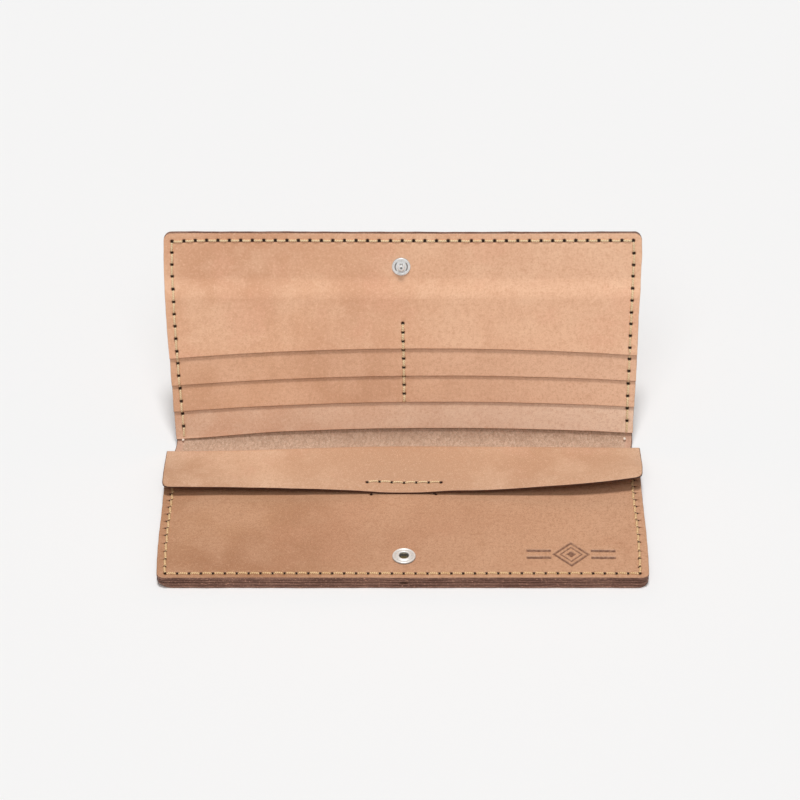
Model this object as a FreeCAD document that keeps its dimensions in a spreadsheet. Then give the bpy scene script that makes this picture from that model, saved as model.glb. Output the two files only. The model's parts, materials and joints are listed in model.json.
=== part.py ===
import FreeCAD, Part
import math
import os
import Sketcher

# Long wallet: a lower half with a wide pocket that lies on the table, a flap that rolls over
# from the back of that pocket and tucks into a slit, and a cover half with card tiers.
# X runs along the width, the front edge points to -Y, +Z is up. The origin is the middle of
# the outer shell's underside on the table.

doc = FreeCAD.newDocument("long_wallet")
V = FreeCAD.Vector

# ---------------------------------------------------------------- driving dimensions
sheet = doc.addObject("Spreadsheet::Sheet", "dims")
sheet.Label = "dims"

CELLS = [
    # overall
    ("half_width", 103.0), ("spine_half", 100.5), ("base_len", 90.0), ("taper_start", 14.0),
    ("corner_rad", 3.0),
    # fold
    ("axis_z", 8.45), ("open_angle", 70.0),
    # lower stack
    ("shell_thick", 1.5), ("back_thick", 1.4), ("welt_thick", 1.4), ("panel_thick", 1.5),
    ("welt_width", 8.0), ("panel_back", 30.0), ("back_end", 37.0),
    # slit and tongue
    ("slit_y", 8.9), ("slit_half", 13.8), ("slit_run", 2.6), ("slit_lean", 1.3333), ("tongue_half", 13.2),
    ("tongue_thick", 1.1),
    # flap and its roll
    ("flap_half", 103.5), ("flap_front", 9.2), ("flap_thick", 1.4), ("roll_y", 37.0),
    ("roll_rad", 4.3), ("flap_corner", 4.0),
    # cover stack, measured from the fold axis
    ("cover_len", 91.5), ("card_back_start", 2.0), ("card_back_thick", 1.0),
    ("tier_three_start", 14.2), ("tier_three_end", 58.2), ("tier_two_start", 26.4),
    ("tier_two_end", 66.4), ("tier_thick", 0.9), ("front_start", 39.1), ("front_thick", 1.0),
    ("ramp_start", 66.8), ("ramp_end", 71.6),
    # snap
    ("socket_y", -31.5), ("socket_rad", 5.0), ("socket_height", 1.3), ("socket_bore", 1.95),
    ("socket_tube", 2.9), ("cap_rad", 5.2), ("cap_thick", 0.45), ("wire_rad", 0.22),
    ("wire_off", 2.12), ("stud_v", 76.9), ("stud_rad", 4.05), ("stud_flange", 0.7),
    ("stud_neck", 1.2), ("stud_ball", 1.6), ("stud_ball_up", 1.55), ("eyelet_rad", 4.0),
    ("eyelet_thick", 0.45), ("eyelet_post", 1.0),
    # sewing
    ("margin", 3.0), ("pitch", 5.0), ("groove_width", 1.2), ("groove_deep", 0.3),
    ("thread_width", 0.9), ("thread_tall", 0.5), ("stitch_len", 3.9),
    ("cover_pitch", 5.6), ("divider_pitch", 4.08), ("base_pitch", 4.6),
]
for row, (alias, value) in enumerate(CELLS, start=1):
    sheet.set("A%d" % row, alias)
    sheet.set("B%d" % row, "%g" % value)
    sheet.setAlias("B%d" % row, alias)
doc.recompute()


class Size:
    """A length read from the sheet that keeps both its number and its expression."""

    def __init__(self, value, text):
        self.value = float(value)
        self.text = text

    def _join(self, other, sign):
        if not isinstance(other, Size):
            other = Size(other, "%g" % other)
        value = {"+": self.value + other.value, "-": self.value - other.value,
                 "*": self.value * other.value}[sign]
        return Size(value, "(%s %s %s)" % (self.text, sign, other.text))

    def __add__(self, other):
        return self._join(other, "+")

    def __sub__(self, other):
        return self._join(other, "-")

    def __mul__(self, other):
        return self._join(other, "*")

    def __neg__(self):
        return Size(-self.value, "(0 - %s)" % self.text)


D = {alias: Size(sheet.get(alias), "dims.%s" % alias) for alias, _ in CELLS}
ZERO = Size(0.0, "0")
front_y = D["base_len"] * -0.5
axis_y = D["base_len"] * 0.5


def num(alias):
    return D[alias].value


def bind(obj, prop, size):
    obj.setExpression(prop, size.text)


# ---------------------------------------------------------------- helpers
def new_body(name):
    body = doc.addObject("PartDesign::Body", name)
    body.Label = name
    return body


def plane_of(body, role):
    for feature in body.Origin.OriginFeatures:
        if feature.Role == role:
            return feature
    raise ValueError(role)


def polygon(body, name, points, role="XY_Plane", lift=None):
    """A closed outline; every corner is held by two bound distances from the sketch origin."""
    sk = body.newObject("Sketcher::SketchObject", name)
    sk.AttachmentSupport = [(plane_of(body, role), "")]
    sk.MapMode = "FlatFace"
    if lift is not None:
        sk.AttachmentOffset = FreeCAD.Placement(V(0, 0, lift.value), FreeCAD.Rotation())
        sk.setExpression("AttachmentOffset.Base.z", lift.text)
    n = len(points)
    for i in range(n):
        a, b = points[i], points[(i + 1) % n]
        sk.addGeometry(Part.LineSegment(V(a[0].value, a[1].value, 0),
                                        V(b[0].value, b[1].value, 0)), False)
    for i in range(n):
        sk.addConstraint(Sketcher.Constraint("Coincident", i, 2, (i + 1) % n, 1))
    for i, (px, py) in enumerate(points):
        for kind, size in (("DistanceX", px), ("DistanceY", py)):
            index = sk.addConstraint(Sketcher.Constraint(kind, -1, 1, i, 1, size.value))
            sk.setExpression("Constraints[%d]" % index, size.text)
    return sk


def circle(body, name, cx, cy, radius, role="XY_Plane", lift=None):
    sk = body.newObject("Sketcher::SketchObject", name)
    sk.AttachmentSupport = [(plane_of(body, role), "")]
    sk.MapMode = "FlatFace"
    if lift is not None:
        sk.AttachmentOffset = FreeCAD.Placement(V(0, 0, lift.value), FreeCAD.Rotation())
        sk.setExpression("AttachmentOffset.Base.z", lift.text)
    sk.addGeometry(Part.Circle(V(cx.value, cy.value, 0), V(0, 0, 1), radius.value), False)
    index = sk.addConstraint(Sketcher.Constraint("Radius", 0, radius.value))
    sk.setExpression("Constraints[%d]" % index, radius.text)
    for kind, size in (("DistanceX", cx), ("DistanceY", cy)):
        index = sk.addConstraint(Sketcher.Constraint(kind, -1, 1, 0, 3, size.value))
        sk.setExpression("Constraints[%d]" % index, size.text)
    return sk


def symmetric(feature):
    if hasattr(feature, "SideType"):
        feature.SideType = "Symmetric"
    else:
        feature.Midplane = True


def pad(body, sk, length, both=False):
    feature = body.newObject("PartDesign::Pad", sk.Name + "_pad")
    feature.Profile = sk
    feature.Length = length.value
    bind(feature, "Length", length)
    if both:
        symmetric(feature)
    sk.Visibility = False
    doc.recompute()
    return feature


def pocket(body, sk, length, up=False, both=False):
    """Cuts, and stops if nothing was removed."""
    before = body.Shape.Volume
    feature = body.newObject("PartDesign::Pocket", sk.Name + "_cut")
    feature.Profile = sk
    feature.Length = length.value
    bind(feature, "Length", length)
    feature.Reversed = up
    if both:
        symmetric(feature)
    doc.recompute()
    if body.Shape.Volume > before - 1e-3:
        feature.Reversed = not up
        doc.recompute()
    if body.Shape.Volume > before - 1e-3:
        raise RuntimeError("%s removed nothing: %s %s" % (feature.Name, feature.State, sk.State))
    return feature


def round_upright(body, radius, pick):
    """Rounds the upright edges that pick(x, y) accepts."""
    names = []
    for i, edge in enumerate(body.Shape.Edges, start=1):
        a, b = edge.Vertexes[0].Point, edge.Vertexes[-1].Point
        if abs(a.x - b.x) < 1e-6 and abs(a.y - b.y) < 1e-6 and abs(a.z - b.z) > 0.1:
            if pick(a.x, a.y):
                names.append("Edge%d" % i)
    if not names:
        raise RuntimeError("no edge to round on " + body.Label)
    last, before = body.Tip, body.Shape.Volume
    feature = body.newObject("PartDesign::Fillet", body.Name + "_fillet")
    feature.Base = (last, names)
    feature.Radius = radius.value
    bind(feature, "Radius", radius)
    doc.recompute()
    if body.Shape.Volume > before - 1e-3:
        raise RuntimeError("%s rounded nothing" % feature.Name)
    return feature


def lay(obj, z):
    """Places a piece of the lower half at height z."""
    obj.Placement = FreeCAD.Placement(V(0, 0, z.value), FreeCAD.Rotation())
    obj.setExpression("Placement.Base.z", z.text)


def stand(obj, z):
    """Places a piece of the cover: modelled flat with Y measured from the fold axis, lifted by z
    and turned about the fold axis by the opening angle."""
    ang = math.radians(num("open_angle"))
    arm = D["axis_z"] - z
    obj.Placement = FreeCAD.Placement(
        V(0, axis_y.value + arm.value * math.sin(ang), num("axis_z") - arm.value * math.cos(ang)),
        FreeCAD.Rotation(V(1, 0, 0), num("open_angle")))
    obj.setExpression("Placement.Rotation.Angle", "dims.open_angle")
    obj.setExpression("Placement.Base.y",
                      "%s + %s * sin(dims.open_angle)" % (axis_y.text, arm.text))
    obj.setExpression("Placement.Base.z",
                      "dims.axis_z - %s * cos(dims.open_angle)" % arm.text)


def lower_outline(back):
    """The lower half's outline from the front edge to the given back end."""
    hw, sh, ts = D["half_width"], D["spine_half"], D["taper_start"]
    slope = (num("half_width") - num("spine_half")) / (axis_y.value - num("taper_start"))
    tail = hw - (back - ts) * round(slope, 8)
    return [(-hw, front_y), (hw, front_y), (hw, ts), (tail, back), (-tail, back), (-hw, ts)]


def cover_half(v):
    """Half width of the cover at distance v from the fold axis: it narrows to the spine."""
    slope = (num("half_width") - num("spine_half")) / num("cover_len")
    return D["spine_half"] + v * round(slope, 8)


def cover_outline(start, end):
    a, b = cover_half(start), cover_half(end)
    return [(-a, start), (a, start), (b, end), (-b, end)]


def u_groove(back, lower=True):
    """Outline of the stitching groove: left side, front row, right side."""
    m = D["margin"]
    hg = D["groove_width"] * 0.5
    if lower:
        x_out, x_in = D["half_width"] - m + hg, D["half_width"] - m - hg
        y_out, y_in = front_y + m - hg, front_y + m + hg
        return [(-x_out, back), (-x_out, y_out), (x_out, y_out), (x_out, back),
                (x_in, back), (x_in, y_in), (-x_in, y_in), (-x_in, back)]
    top, bot = cover_half(D["cover_len"]) - m, cover_half(back) - m
    y_out, y_in = D["cover_len"] - m + hg, D["cover_len"] - m - hg
    return [(-(bot + hg), back), (-(bot - hg), back), (-(top - hg), y_in), (top - hg, y_in),
            (bot - hg, back), (bot + hg, back), (top + hg, y_out), (-(top + hg), y_out)]


# ---------------------------------------------------------------- lower half
z_back = D["shell_thick"]
z_welt = z_back + D["back_thick"]
z_panel = z_welt + D["welt_thick"]
z_top = z_panel + D["panel_thick"]
is_front = lambda x, y: y < front_y.value + 0.1

shell_low = new_body("outer_shell_lower")
pad(shell_low, polygon(shell_low, "shell_low_outline", lower_outline(axis_y)), D["shell_thick"])
round_upright(shell_low, D["corner_rad"], is_front)
pocket(shell_low, polygon(shell_low, "shell_low_groove", u_groove(D["panel_back"])),
       D["groove_deep"] + 0.2, up=True)
lay(shell_low, ZERO)

back_panel = new_body("pocket_back_panel")
pad(back_panel, polygon(back_panel, "back_panel_outline", lower_outline(D["back_end"])),
    D["back_thick"])
round_upright(back_panel, D["corner_rad"], is_front)
lay(back_panel, z_back)

for side, sign in (("left", -1), ("right", 1)):
    welt = new_body("welt_strip_" + side)
    out, inn = D["half_width"] * sign, (D["half_width"] - D["welt_width"]) * sign
    y0 = front_y + D["welt_width"]
    pad(welt, polygon(welt, "welt_%s_outline" % side,
                      [(out, y0), (out, D["taper_start"]),
                       (out - sign * 0.9, D["panel_back"]), (inn, D["panel_back"]), (inn, y0)]),
        D["welt_thick"])
    lay(welt, z_welt)

welt_front = new_body("welt_strip_front")
pad(welt_front, polygon(welt_front, "welt_front_outline",
                        [(-D["half_width"], front_y), (D["half_width"], front_y),
                         (D["half_width"], front_y + D["welt_width"]),
                         (-D["half_width"], front_y + D["welt_width"])]), D["welt_thick"])
round_upright(welt_front, D["corner_rad"], is_front)
lay(welt_front, z_welt)

panel = new_body("pocket_front_panel")
pad(panel, polygon(panel, "panel_outline", lower_outline(D["panel_back"])), D["panel_thick"])
round_upright(panel, D["corner_rad"], is_front)
pocket(panel, polygon(panel, "panel_groove", u_groove(D["panel_back"]),
                      lift=D["panel_thick"]), D["groove_deep"])
# the tuck slit leans, so that the tongue can slide in under the front lip
lip = D["panel_thick"] + 0.4
lean = lip * D["slit_lean"]
slit = polygon(panel, "panel_slit",
               [(D["slit_y"] - lean, ZERO - 0.2), (D["slit_y"] - lean + D["slit_run"], ZERO - 0.2),
                (D["slit_y"] + D["slit_run"], lip - 0.2), (D["slit_y"], lip - 0.2)],
               role="YZ_Plane")
pocket(panel, slit, D["slit_half"] * 2.0, both=True)
pocket(panel, circle(panel, "panel_snap_hole", ZERO, D["socket_y"], D["socket_tube"] + 0.05,
                     lift=D["panel_thick"]), D["panel_thick"] + 0.1)
lay(panel, z_panel)

# ---------------------------------------------------------------- snap, female half
socket = new_body("snap_socket")
sk = polygon(socket, "socket_section", [
    (D["socket_bore"], -D["panel_thick"] * 0.8), (D["socket_tube"], -D["panel_thick"] * 0.8),
    (D["socket_tube"], ZERO), (D["socket_rad"], ZERO), (D["socket_rad"], D["socket_height"] * 0.45),
    (D["socket_rad"] - 0.7, D["socket_height"] * 0.8), (D["socket_rad"] - 1.2, D["socket_height"]),
    (D["socket_bore"] + 0.5, D["socket_height"]), (D["socket_bore"], D["socket_height"] * 0.7)],
    role="XZ_Plane")
rev = socket.newObject("PartDesign::Revolution", "socket_turn")
rev.Profile = sk
rev.ReferenceAxis = (sk, ["V_Axis"])
rev.Angle = 360.0
doc.recompute()
slot_a = polygon(socket, "socket_wire_slot", [
    (ZERO - 2.9, D["wire_off"] - 0.26), (ZERO + 2.9, D["wire_off"] - 0.26),
    (ZERO + 2.9, D["wire_off"] + 0.26), (ZERO - 2.9, D["wire_off"] + 0.26)],
    lift=D["socket_height"] * 0.25)
pocket(socket, slot_a, ZERO + 0.52, up=True)
slot_b = polygon(socket, "socket_wire_slot_front", [
    (ZERO - 2.9, -D["wire_off"] - 0.26), (ZERO + 2.9, -D["wire_off"] - 0.26),
    (ZERO + 2.9, -D["wire_off"] + 0.26), (ZERO - 2.9, -D["wire_off"] + 0.26)],
    lift=D["socket_height"] * 0.25)
pocket(socket, slot_b, ZERO + 0.52, up=True)
socket.Placement = FreeCAD.Placement(V(0, num("socket_y"), z_top.value), FreeCAD.Rotation())
socket.setExpression("Placement.Base.y", D["socket_y"].text)
socket.setExpression("Placement.Base.z", z_top.text)

wires = []
for tag, sign in (("back", 1), ("front", -1)):
    wire = doc.addObject("Part::Cylinder", "spring_wire_" + tag)
    wire.Radius = num("wire_rad")
    wire.Height = 5.6
    bind(wire, "Radius", D["wire_rad"])
    y = D["socket_y"] + D["wire_off"] * sign
    z = z_top + D["socket_height"] * 0.25 + 0.26
    wire.Placement = FreeCAD.Placement(V(-2.8, y.value, z.value),
                                       FreeCAD.Rotation(V(0, 1, 0), 90))
    wire.setExpression("Placement.Base.y", y.text)
    wire.setExpression("Placement.Base.z", z.text)
    wires.append(wire)
spring = doc.addObject("Part::Compound", "snap_socket_spring")
spring.Links = wires
spring.Label = "snap_socket_spring"

cap = doc.addObject("Part::Cylinder", "snap_socket_cap")
cap.Label = "snap_socket_cap"
cap.Radius, cap.Height = num("cap_rad"), num("cap_thick")
bind(cap, "Radius", D["cap_rad"])
bind(cap, "Height", D["cap_thick"])
cap_z = z_panel - D["cap_thick"]
cap.Placement = FreeCAD.Placement(V(0, num("socket_y"), cap_z.value), FreeCAD.Rotation())
cap.setExpression("Placement.Base.y", D["socket_y"].text)
cap.setExpression("Placement.Base.z", cap_z.text)

# ---------------------------------------------------------------- flap, roll and tongue
roll_z = z_back + D["roll_rad"]
top_flap = roll_z + D["roll_rad"]
roll = new_body("flap_roll")
rr, rt = num("roll_rad"), num("flap_thick")
sk = roll.newObject("Sketcher::SketchObject", "roll_section")
sk.AttachmentSupport = [(plane_of(roll, "YZ_Plane"), "")]
sk.MapMode = "FlatFace"
centre = V(num("roll_y"), roll_z.value, 0)
half_turn = math.pi / 2
outer = sk.addGeometry(Part.ArcOfCircle(Part.Circle(centre, V(0, 0, 1), rr), -half_turn, half_turn))
inner = sk.addGeometry(Part.ArcOfCircle(Part.Circle(centre, V(0, 0, 1), rr - rt),
                                        -half_turn, half_turn))
low = sk.addGeometry(Part.LineSegment(centre + V(0, -rr, 0), centre + V(0, -rr + rt, 0)))
high = sk.addGeometry(Part.LineSegment(centre + V(0, rr - rt, 0), centre + V(0, rr, 0)))
sk.addConstraint(Sketcher.Constraint("Coincident", outer, 1, low, 1))
sk.addConstraint(Sketcher.Constraint("Coincident", low, 2, inner, 1))
sk.addConstraint(Sketcher.Constraint("Coincident", inner, 2, high, 1))
sk.addConstraint(Sketcher.Constraint("Coincident", high, 2, outer, 2))
sk.addConstraint(Sketcher.Constraint("Coincident", outer, 3, inner, 3))
sk.addConstraint(Sketcher.Constraint("Vertical", low))
sk.addConstraint(Sketcher.Constraint("Vertical", high))
for kind, args, size in (("Radius", (outer,), D["roll_rad"]),
                         ("Radius", (inner,), D["roll_rad"] - D["flap_thick"]),
                         ("DistanceX", (-1, 1, outer, 3), D["roll_y"]),
                         ("DistanceY", (-1, 1, outer, 3), roll_z)):
    index = sk.addConstraint(Sketcher.Constraint(kind, *(args + (size.value,))))
    sk.setExpression("Constraints[%d]" % index, size.text)
sk.addConstraint(Sketcher.Constraint("Vertical", low, 1, outer, 3))
sk.addConstraint(Sketcher.Constraint("Vertical", high, 1, outer, 3))
doc.recompute()
pad(roll, sk, D["flap_half"] * 2.0 - 3.0, both=True)

# flap: a bent strip, drawn from the side and padded across
front_top = z_top + D["tongue_thick"] + D["flap_thick"]
flap = new_body("pocket_flap")
yf, yr, ft = D["flap_front"], D["roll_y"], D["flap_thick"]
mid = yf + 14.0
pad(flap, polygon(flap, "flap_section", [
    (yf, front_top - ft), (mid, front_top - ft + 0.2), (yr, top_flap - ft),
    (yr, top_flap), (mid, front_top + 0.2), (yf, front_top)], role="YZ_Plane"),
    D["flap_half"] * 2.0, both=True)
round_upright(flap, D["flap_corner"], lambda x, y: y < yf.value + 0.1)

# tongue: flat under the flap, down through the slit, flat inside the pocket
tongue = new_body("tuck_tongue")
tt = D["tongue_thick"]
hi = front_top - ft - tt + 0.0
lo = z_panel - 0.1 - tt
ya = D["slit_y"]
knee = yf + 4.6
pad(tongue, polygon(tongue, "tongue_section", [
    (ya - 16.0, lo), (knee - 6.5, lo), (knee - 2.9, hi), (yf + 13.0, hi),
    (yf + 13.0, hi + tt), (knee - 3.5, hi + tt), (knee - 7.1, lo + tt), (ya - 16.0, lo + tt)],
    role="YZ_Plane"), D["tongue_half"] * 2.0, both=True)

# ---------------------------------------------------------------- spine
spine = new_body("outer_shell_spine")
sk = spine.newObject("Sketcher::SketchObject", "spine_section")
sk.AttachmentSupport = [(plane_of(spine, "YZ_Plane"), "")]
sk.MapMode = "FlatFace"
ang = math.radians(num("open_angle"))
r_out, r_in = num("axis_z"), num("axis_z") - num("shell_thick")
a0, a1 = -math.pi / 2, -math.pi / 2 + ang
hub = V(axis_y.value, num("axis_z"), 0)
ring = lambda r, a: V(hub.x + r * math.cos(a), hub.y + r * math.sin(a), 0)
sk.addGeometry(Part.ArcOfCircle(Part.Circle(hub, V(0, 0, 1), r_out), a0, a1))
sk.addGeometry(Part.ArcOfCircle(Part.Circle(hub, V(0, 0, 1), r_in), a0, a1))
sk.addGeometry(Part.LineSegment(ring(r_out, a0), ring(r_in, a0)))
sk.addGeometry(Part.LineSegment(ring(r_in, a1), ring(r_out, a1)))
sk.addConstraint(Sketcher.Constraint("Coincident", 0, 1, 2, 1))
sk.addConstraint(Sketcher.Constraint("Coincident", 2, 2, 1, 1))
sk.addConstraint(Sketcher.Constraint("Coincident", 1, 2, 3, 1))
sk.addConstraint(Sketcher.Constraint("Coincident", 3, 2, 0, 2))
sk.addConstraint(Sketcher.Constraint("Coincident", 0, 3, 1, 3))
sk.addConstraint(Sketcher.Constraint("Vertical", 2))
sk.addConstraint(Sketcher.Constraint("Vertical", 2, 1, 0, 3))
sk.addConstraint(Sketcher.Constraint("PointOnObject", 0, 3, 3))
for kind, args, size in (("Radius", (0,), D["axis_z"]),
                         ("Radius", (1,), D["axis_z"] - D["shell_thick"]),
                         ("DistanceX", (-1, 1, 0, 3), axis_y),
                         ("DistanceY", (-1, 1, 0, 3), D["axis_z"])):
    index = sk.addConstraint(Sketcher.Constraint(kind, *(args + (size.value,))))
    sk.setExpression("Constraints[%d]" % index, size.text)
doc.recompute()
pad(spine, sk, D["spine_half"] * 2.0, both=True)

# ---------------------------------------------------------------- cover half
shell_up = new_body("outer_shell_upper")
pad(shell_up, polygon(shell_up, "shell_up_outline", cover_outline(ZERO, D["cover_len"])),
    D["shell_thick"])
is_top = lambda x, y: y > num("cover_len") - 0.1
round_upright(shell_up, D["corner_rad"], is_top)
pocket(shell_up, polygon(shell_up, "shell_up_groove", u_groove(D["card_back_start"] + 0.5, False)),
       D["groove_deep"] + 0.2, up=True)
stand(shell_up, ZERO)

z_card = D["shell_thick"]
backing = new_body("card_backing_panel")
pad(backing, polygon(backing, "backing_outline",
                     cover_outline(D["card_back_start"], D["cover_len"])), D["card_back_thick"])
round_upright(backing, D["corner_rad"], is_top)
pocket(backing, circle(backing, "backing_snap_recess", ZERO, D["stud_v"], D["eyelet_rad"] + 0.1,
                       lift=D["card_back_thick"]), D["card_back_thick"] + 0.1)
stand(backing, z_card)

z_three = z_card + D["card_back_thick"]
three = new_body("card_tier_3")
pad(three, polygon(three, "tier_three_outline",
                   cover_outline(D["tier_three_start"], D["tier_three_end"])), D["tier_thick"])
stand(three, z_three)

z_two = z_three + D["tier_thick"]
two = new_body("card_tier_2")
pad(two, polygon(two, "tier_two_outline",
                 cover_outline(D["tier_two_start"], D["tier_two_end"])), D["tier_thick"])
stand(two, z_two)

z_one = z_two + D["tier_thick"]
front = new_body("card_front_panel")
drop = D["tier_thick"] * 2.0
fth = D["front_thick"]
pad(front, polygon(front, "front_section", [
    (D["front_start"], ZERO), (D["ramp_start"], ZERO), (D["ramp_end"], -drop),
    (D["cover_len"], -drop), (D["cover_len"], fth - drop), (D["ramp_end"] + 0.3, fth - drop),
    (D["ramp_start"] + 0.3, fth), (D["front_start"], fth)], role="YZ_Plane"),
    D["half_width"] * 2.0, both=True)
trim_top, trim_low = cover_half(D["cover_len"]), cover_half(D["front_start"])
for tag, sign in (("left", -1), ("right", 1)):
    wedge = polygon(front, "front_trim_" + tag, [
        (trim_low * sign, D["front_start"]), (trim_top * sign, D["cover_len"]),
        ((D["half_width"] + 1.0) * sign, D["cover_len"]),
        ((D["half_width"] + 1.0) * sign, D["front_start"])],
        lift=D["front_thick"] + 0.1)
    pocket(front, wedge, drop + fth + 0.3)
round_upright(front, D["corner_rad"], is_top)
pocket(front, circle(front, "front_snap_hole", ZERO, D["stud_v"], D["eyelet_post"] + 0.05,
                     lift=fth + 0.1), drop + fth + 0.3)
stand(front, z_one)

# ---------------------------------------------------------------- snap, male half
z_seat = z_three + fth
stud = new_body("snap_stud")
sk = polygon(stud, "stud_section", [
    (ZERO, ZERO), (D["stud_rad"], ZERO), (D["stud_rad"], D["stud_flange"] * 0.5),
    (D["stud_rad"] - 0.6, D["stud_flange"]), (D["stud_neck"] + 0.25, D["stud_flange"]),
    (D["stud_neck"], D["stud_flange"] + 0.3), (D["stud_ball"], D["stud_ball_up"] - 0.1),
    (D["stud_ball"], D["stud_ball_up"] + 0.5), (D["stud_ball"] - 0.45, D["stud_ball_up"] + 1.15),
    (D["stud_ball"] - 1.0, D["stud_ball_up"] + 1.35), (ZERO, D["stud_ball_up"] + 1.4)],
    role="XZ_Plane")
rev = stud.newObject("PartDesign::Revolution", "stud_turn")
rev.Profile = sk
rev.ReferenceAxis = (sk, ["V_Axis"])
rev.Angle = 360.0
doc.recompute()


def stand_at(obj, v, z):
    """Places a piece of the cover that is centred on its own origin."""
    a = math.radians(num("open_angle"))
    arm = D["axis_z"] - z
    obj.Placement = FreeCAD.Placement(
        V(0, axis_y.value + v.value * math.cos(a) + arm.value * math.sin(a),
          num("axis_z") + v.value * math.sin(a) - arm.value * math.cos(a)),
        FreeCAD.Rotation(V(1, 0, 0), num("open_angle")))
    obj.setExpression("Placement.Rotation.Angle", "dims.open_angle")
    obj.setExpression("Placement.Base.y", "%s + %s * cos(dims.open_angle) + %s * sin(dims.open_angle)"
                      % (axis_y.text, v.text, arm.text))
    obj.setExpression("Placement.Base.z", "dims.axis_z + %s * sin(dims.open_angle)"
                      " - %s * cos(dims.open_angle)" % (v.text, arm.text))


stand_at(stud, D["stud_v"], z_seat)

eyelet = new_body("snap_stud_eyelet")
sk = polygon(eyelet, "eyelet_section", [
    (ZERO, ZERO), (D["eyelet_rad"], ZERO), (D["eyelet_rad"], D["eyelet_thick"]),
    (D["eyelet_post"], D["eyelet_thick"]), (D["eyelet_post"], D["eyelet_thick"] + fth),
    (ZERO, D["eyelet_thick"] + fth)], role="XZ_Plane")
rev = eyelet.newObject("PartDesign::Revolution", "eyelet_turn")
rev.Profile = sk
rev.ReferenceAxis = (sk, ["V_Axis"])
rev.Angle = 360.0
doc.recompute()
stand_at(eyelet, D["stud_v"], z_seat - fth - D["eyelet_thick"])


# ---------------------------------------------------------------- sewing
def stitch(x, y, z, dx, dy, length=None):
    """One stitch: a flat round-ended bar of thread centred on (x, y) with its foot at z."""
    length = num("stitch_len") if length is None else length
    w, t = num("thread_width"), num("thread_tall")
    n = math.hypot(dx, dy)
    bar = Part.makeBox(length - w, w, t, V(-(length - w) / 2, -w / 2, 0))
    for end in (-1, 1):
        bar = bar.fuse(Part.makeCylinder(w / 2, t, V(end * (length - w) / 2, 0, 0)))
    bar = bar.removeSplitter()
    bar.Placement = FreeCAD.Placement(V(x, y, z), FreeCAD.Rotation(V(0, 0, 1),
                                      math.degrees(math.atan2(dy / n, dx / n))))
    return bar


def row(p, q, count, z, length=None):
    """count stitches between the first and the last awl hole."""
    out = []
    for i in range(count):
        f = (i + 0.5) / count
        out.append(stitch(p[0] + (q[0] - p[0]) * f, p[1] + (q[1] - p[1]) * f, z,
                          q[0] - p[0], q[1] - p[1], length))
    return out


def sewn(name, stitches):
    node = doc.addObject("Part::Feature", name)
    node.Label = name
    node.Shape = Part.makeCompound(stitches)
    return node


mg = num("margin")
gd = num("groove_deep")
xl = num("half_width") - mg
yf0 = front_y.value + mg
sides = int((num("panel_back") - yf0) / num("base_pitch"))
yb0 = yf0 + sides * num("base_pitch")
across = int(round(2 * xl / num("pitch")))
under = (gd + 0.2) - num("thread_tall")
bars = []
for z in (z_top.value - gd, under):
    bars += row((-xl, yf0), (xl, yf0), across, z)
    bars += row((-xl, yf0), (-xl, yb0), sides, z)
    bars += row((xl, yf0), (xl, yb0), sides, z)
low_thread = sewn("thread_lower_perimeter", bars)

yt0 = num("cover_len") - mg
xt0 = cover_half(D["cover_len"]).value - mg
drops = 16
yb1 = yt0 - (drops - 1) * num("cover_pitch") - 0.3
xb1 = cover_half(Size(yb1, "0")).value - mg
# heights of the stepped inner face along the side columns
STEPS = [(num("card_back_start"), z_three.value), (num("tier_three_start"), z_two.value),
         (num("tier_two_start"), z_one.value), (num("front_start"), z_one.value + fth.value)]


def face_height(v):
    z = STEPS[0][1]
    for start, level in STEPS:
        if v >= start:
            z = level
    r0, r1 = num("ramp_start") + 0.3, num("ramp_end") + 0.3
    if v > r1:
        z = z_three.value + fth.value
    elif v > r0:
        z -= drop.value * (v - r0) / (r1 - r0)
    return z


bars = row((-xt0, yt0), (xt0, yt0), across, z_three.value + fth.value)
bars += row((-xt0, yt0), (xt0, yt0), across, gd - num("thread_tall") + 0.2)
for sign in (-1, 1):
    for i in range(drops - 1):
        f = (i + 0.5) / (drops - 1)
        x = sign * (xt0 + (xb1 - xt0) * f)
        y = yt0 + (yb1 - yt0) * f
        top = max(face_height(y - 1.9), face_height(y + 1.9))
        bars.append(stitch(x, y, top, sign * (xt0 - xb1), yt0 - yb1))
        bars.append(stitch(x, y, gd - num("thread_tall") + 0.2, sign * (xt0 - xb1), yt0 - yb1))
up_thread = sewn("thread_upper_perimeter", bars)
stand(up_thread, ZERO)

div_top, div_low = num("front_start") + 12.5, num("tier_three_start") + 0.8
bars = []
for i in range(9):
    y = div_top + (div_low - div_top) * (i + 0.5) / 9
    bars.append(stitch(0, y, max(face_height(y - 1.6), face_height(y + 1.6)), 0, 1, 3.1))
divider = sewn("thread_card_divider", bars)
stand(divider, ZERO)

# the tiers' lower ends are sewn to the backing; the stitches show on its back
for name, edge in (("thread_tier_3_base", "tier_three_end"), ("thread_tier_2_base", "tier_two_end")):
    y = num(edge) + 1.0
    level = z_three.value if edge == "tier_three_end" else z_three.value
    node = sewn(name, row((-95, y), (95, y), 38, level))
    stand(node, ZERO)

# the tongue's row on top of the flap
ty = num("flap_front") + 6.3
slope_z = front_top.value + 0.2 * (ty - num("flap_front")) / 14.0
tongue_thread = sewn("thread_tongue", row((-15.9 + 0.0, ty), (15.9, ty), 6, slope_z + 0.0, 4.3))

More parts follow.
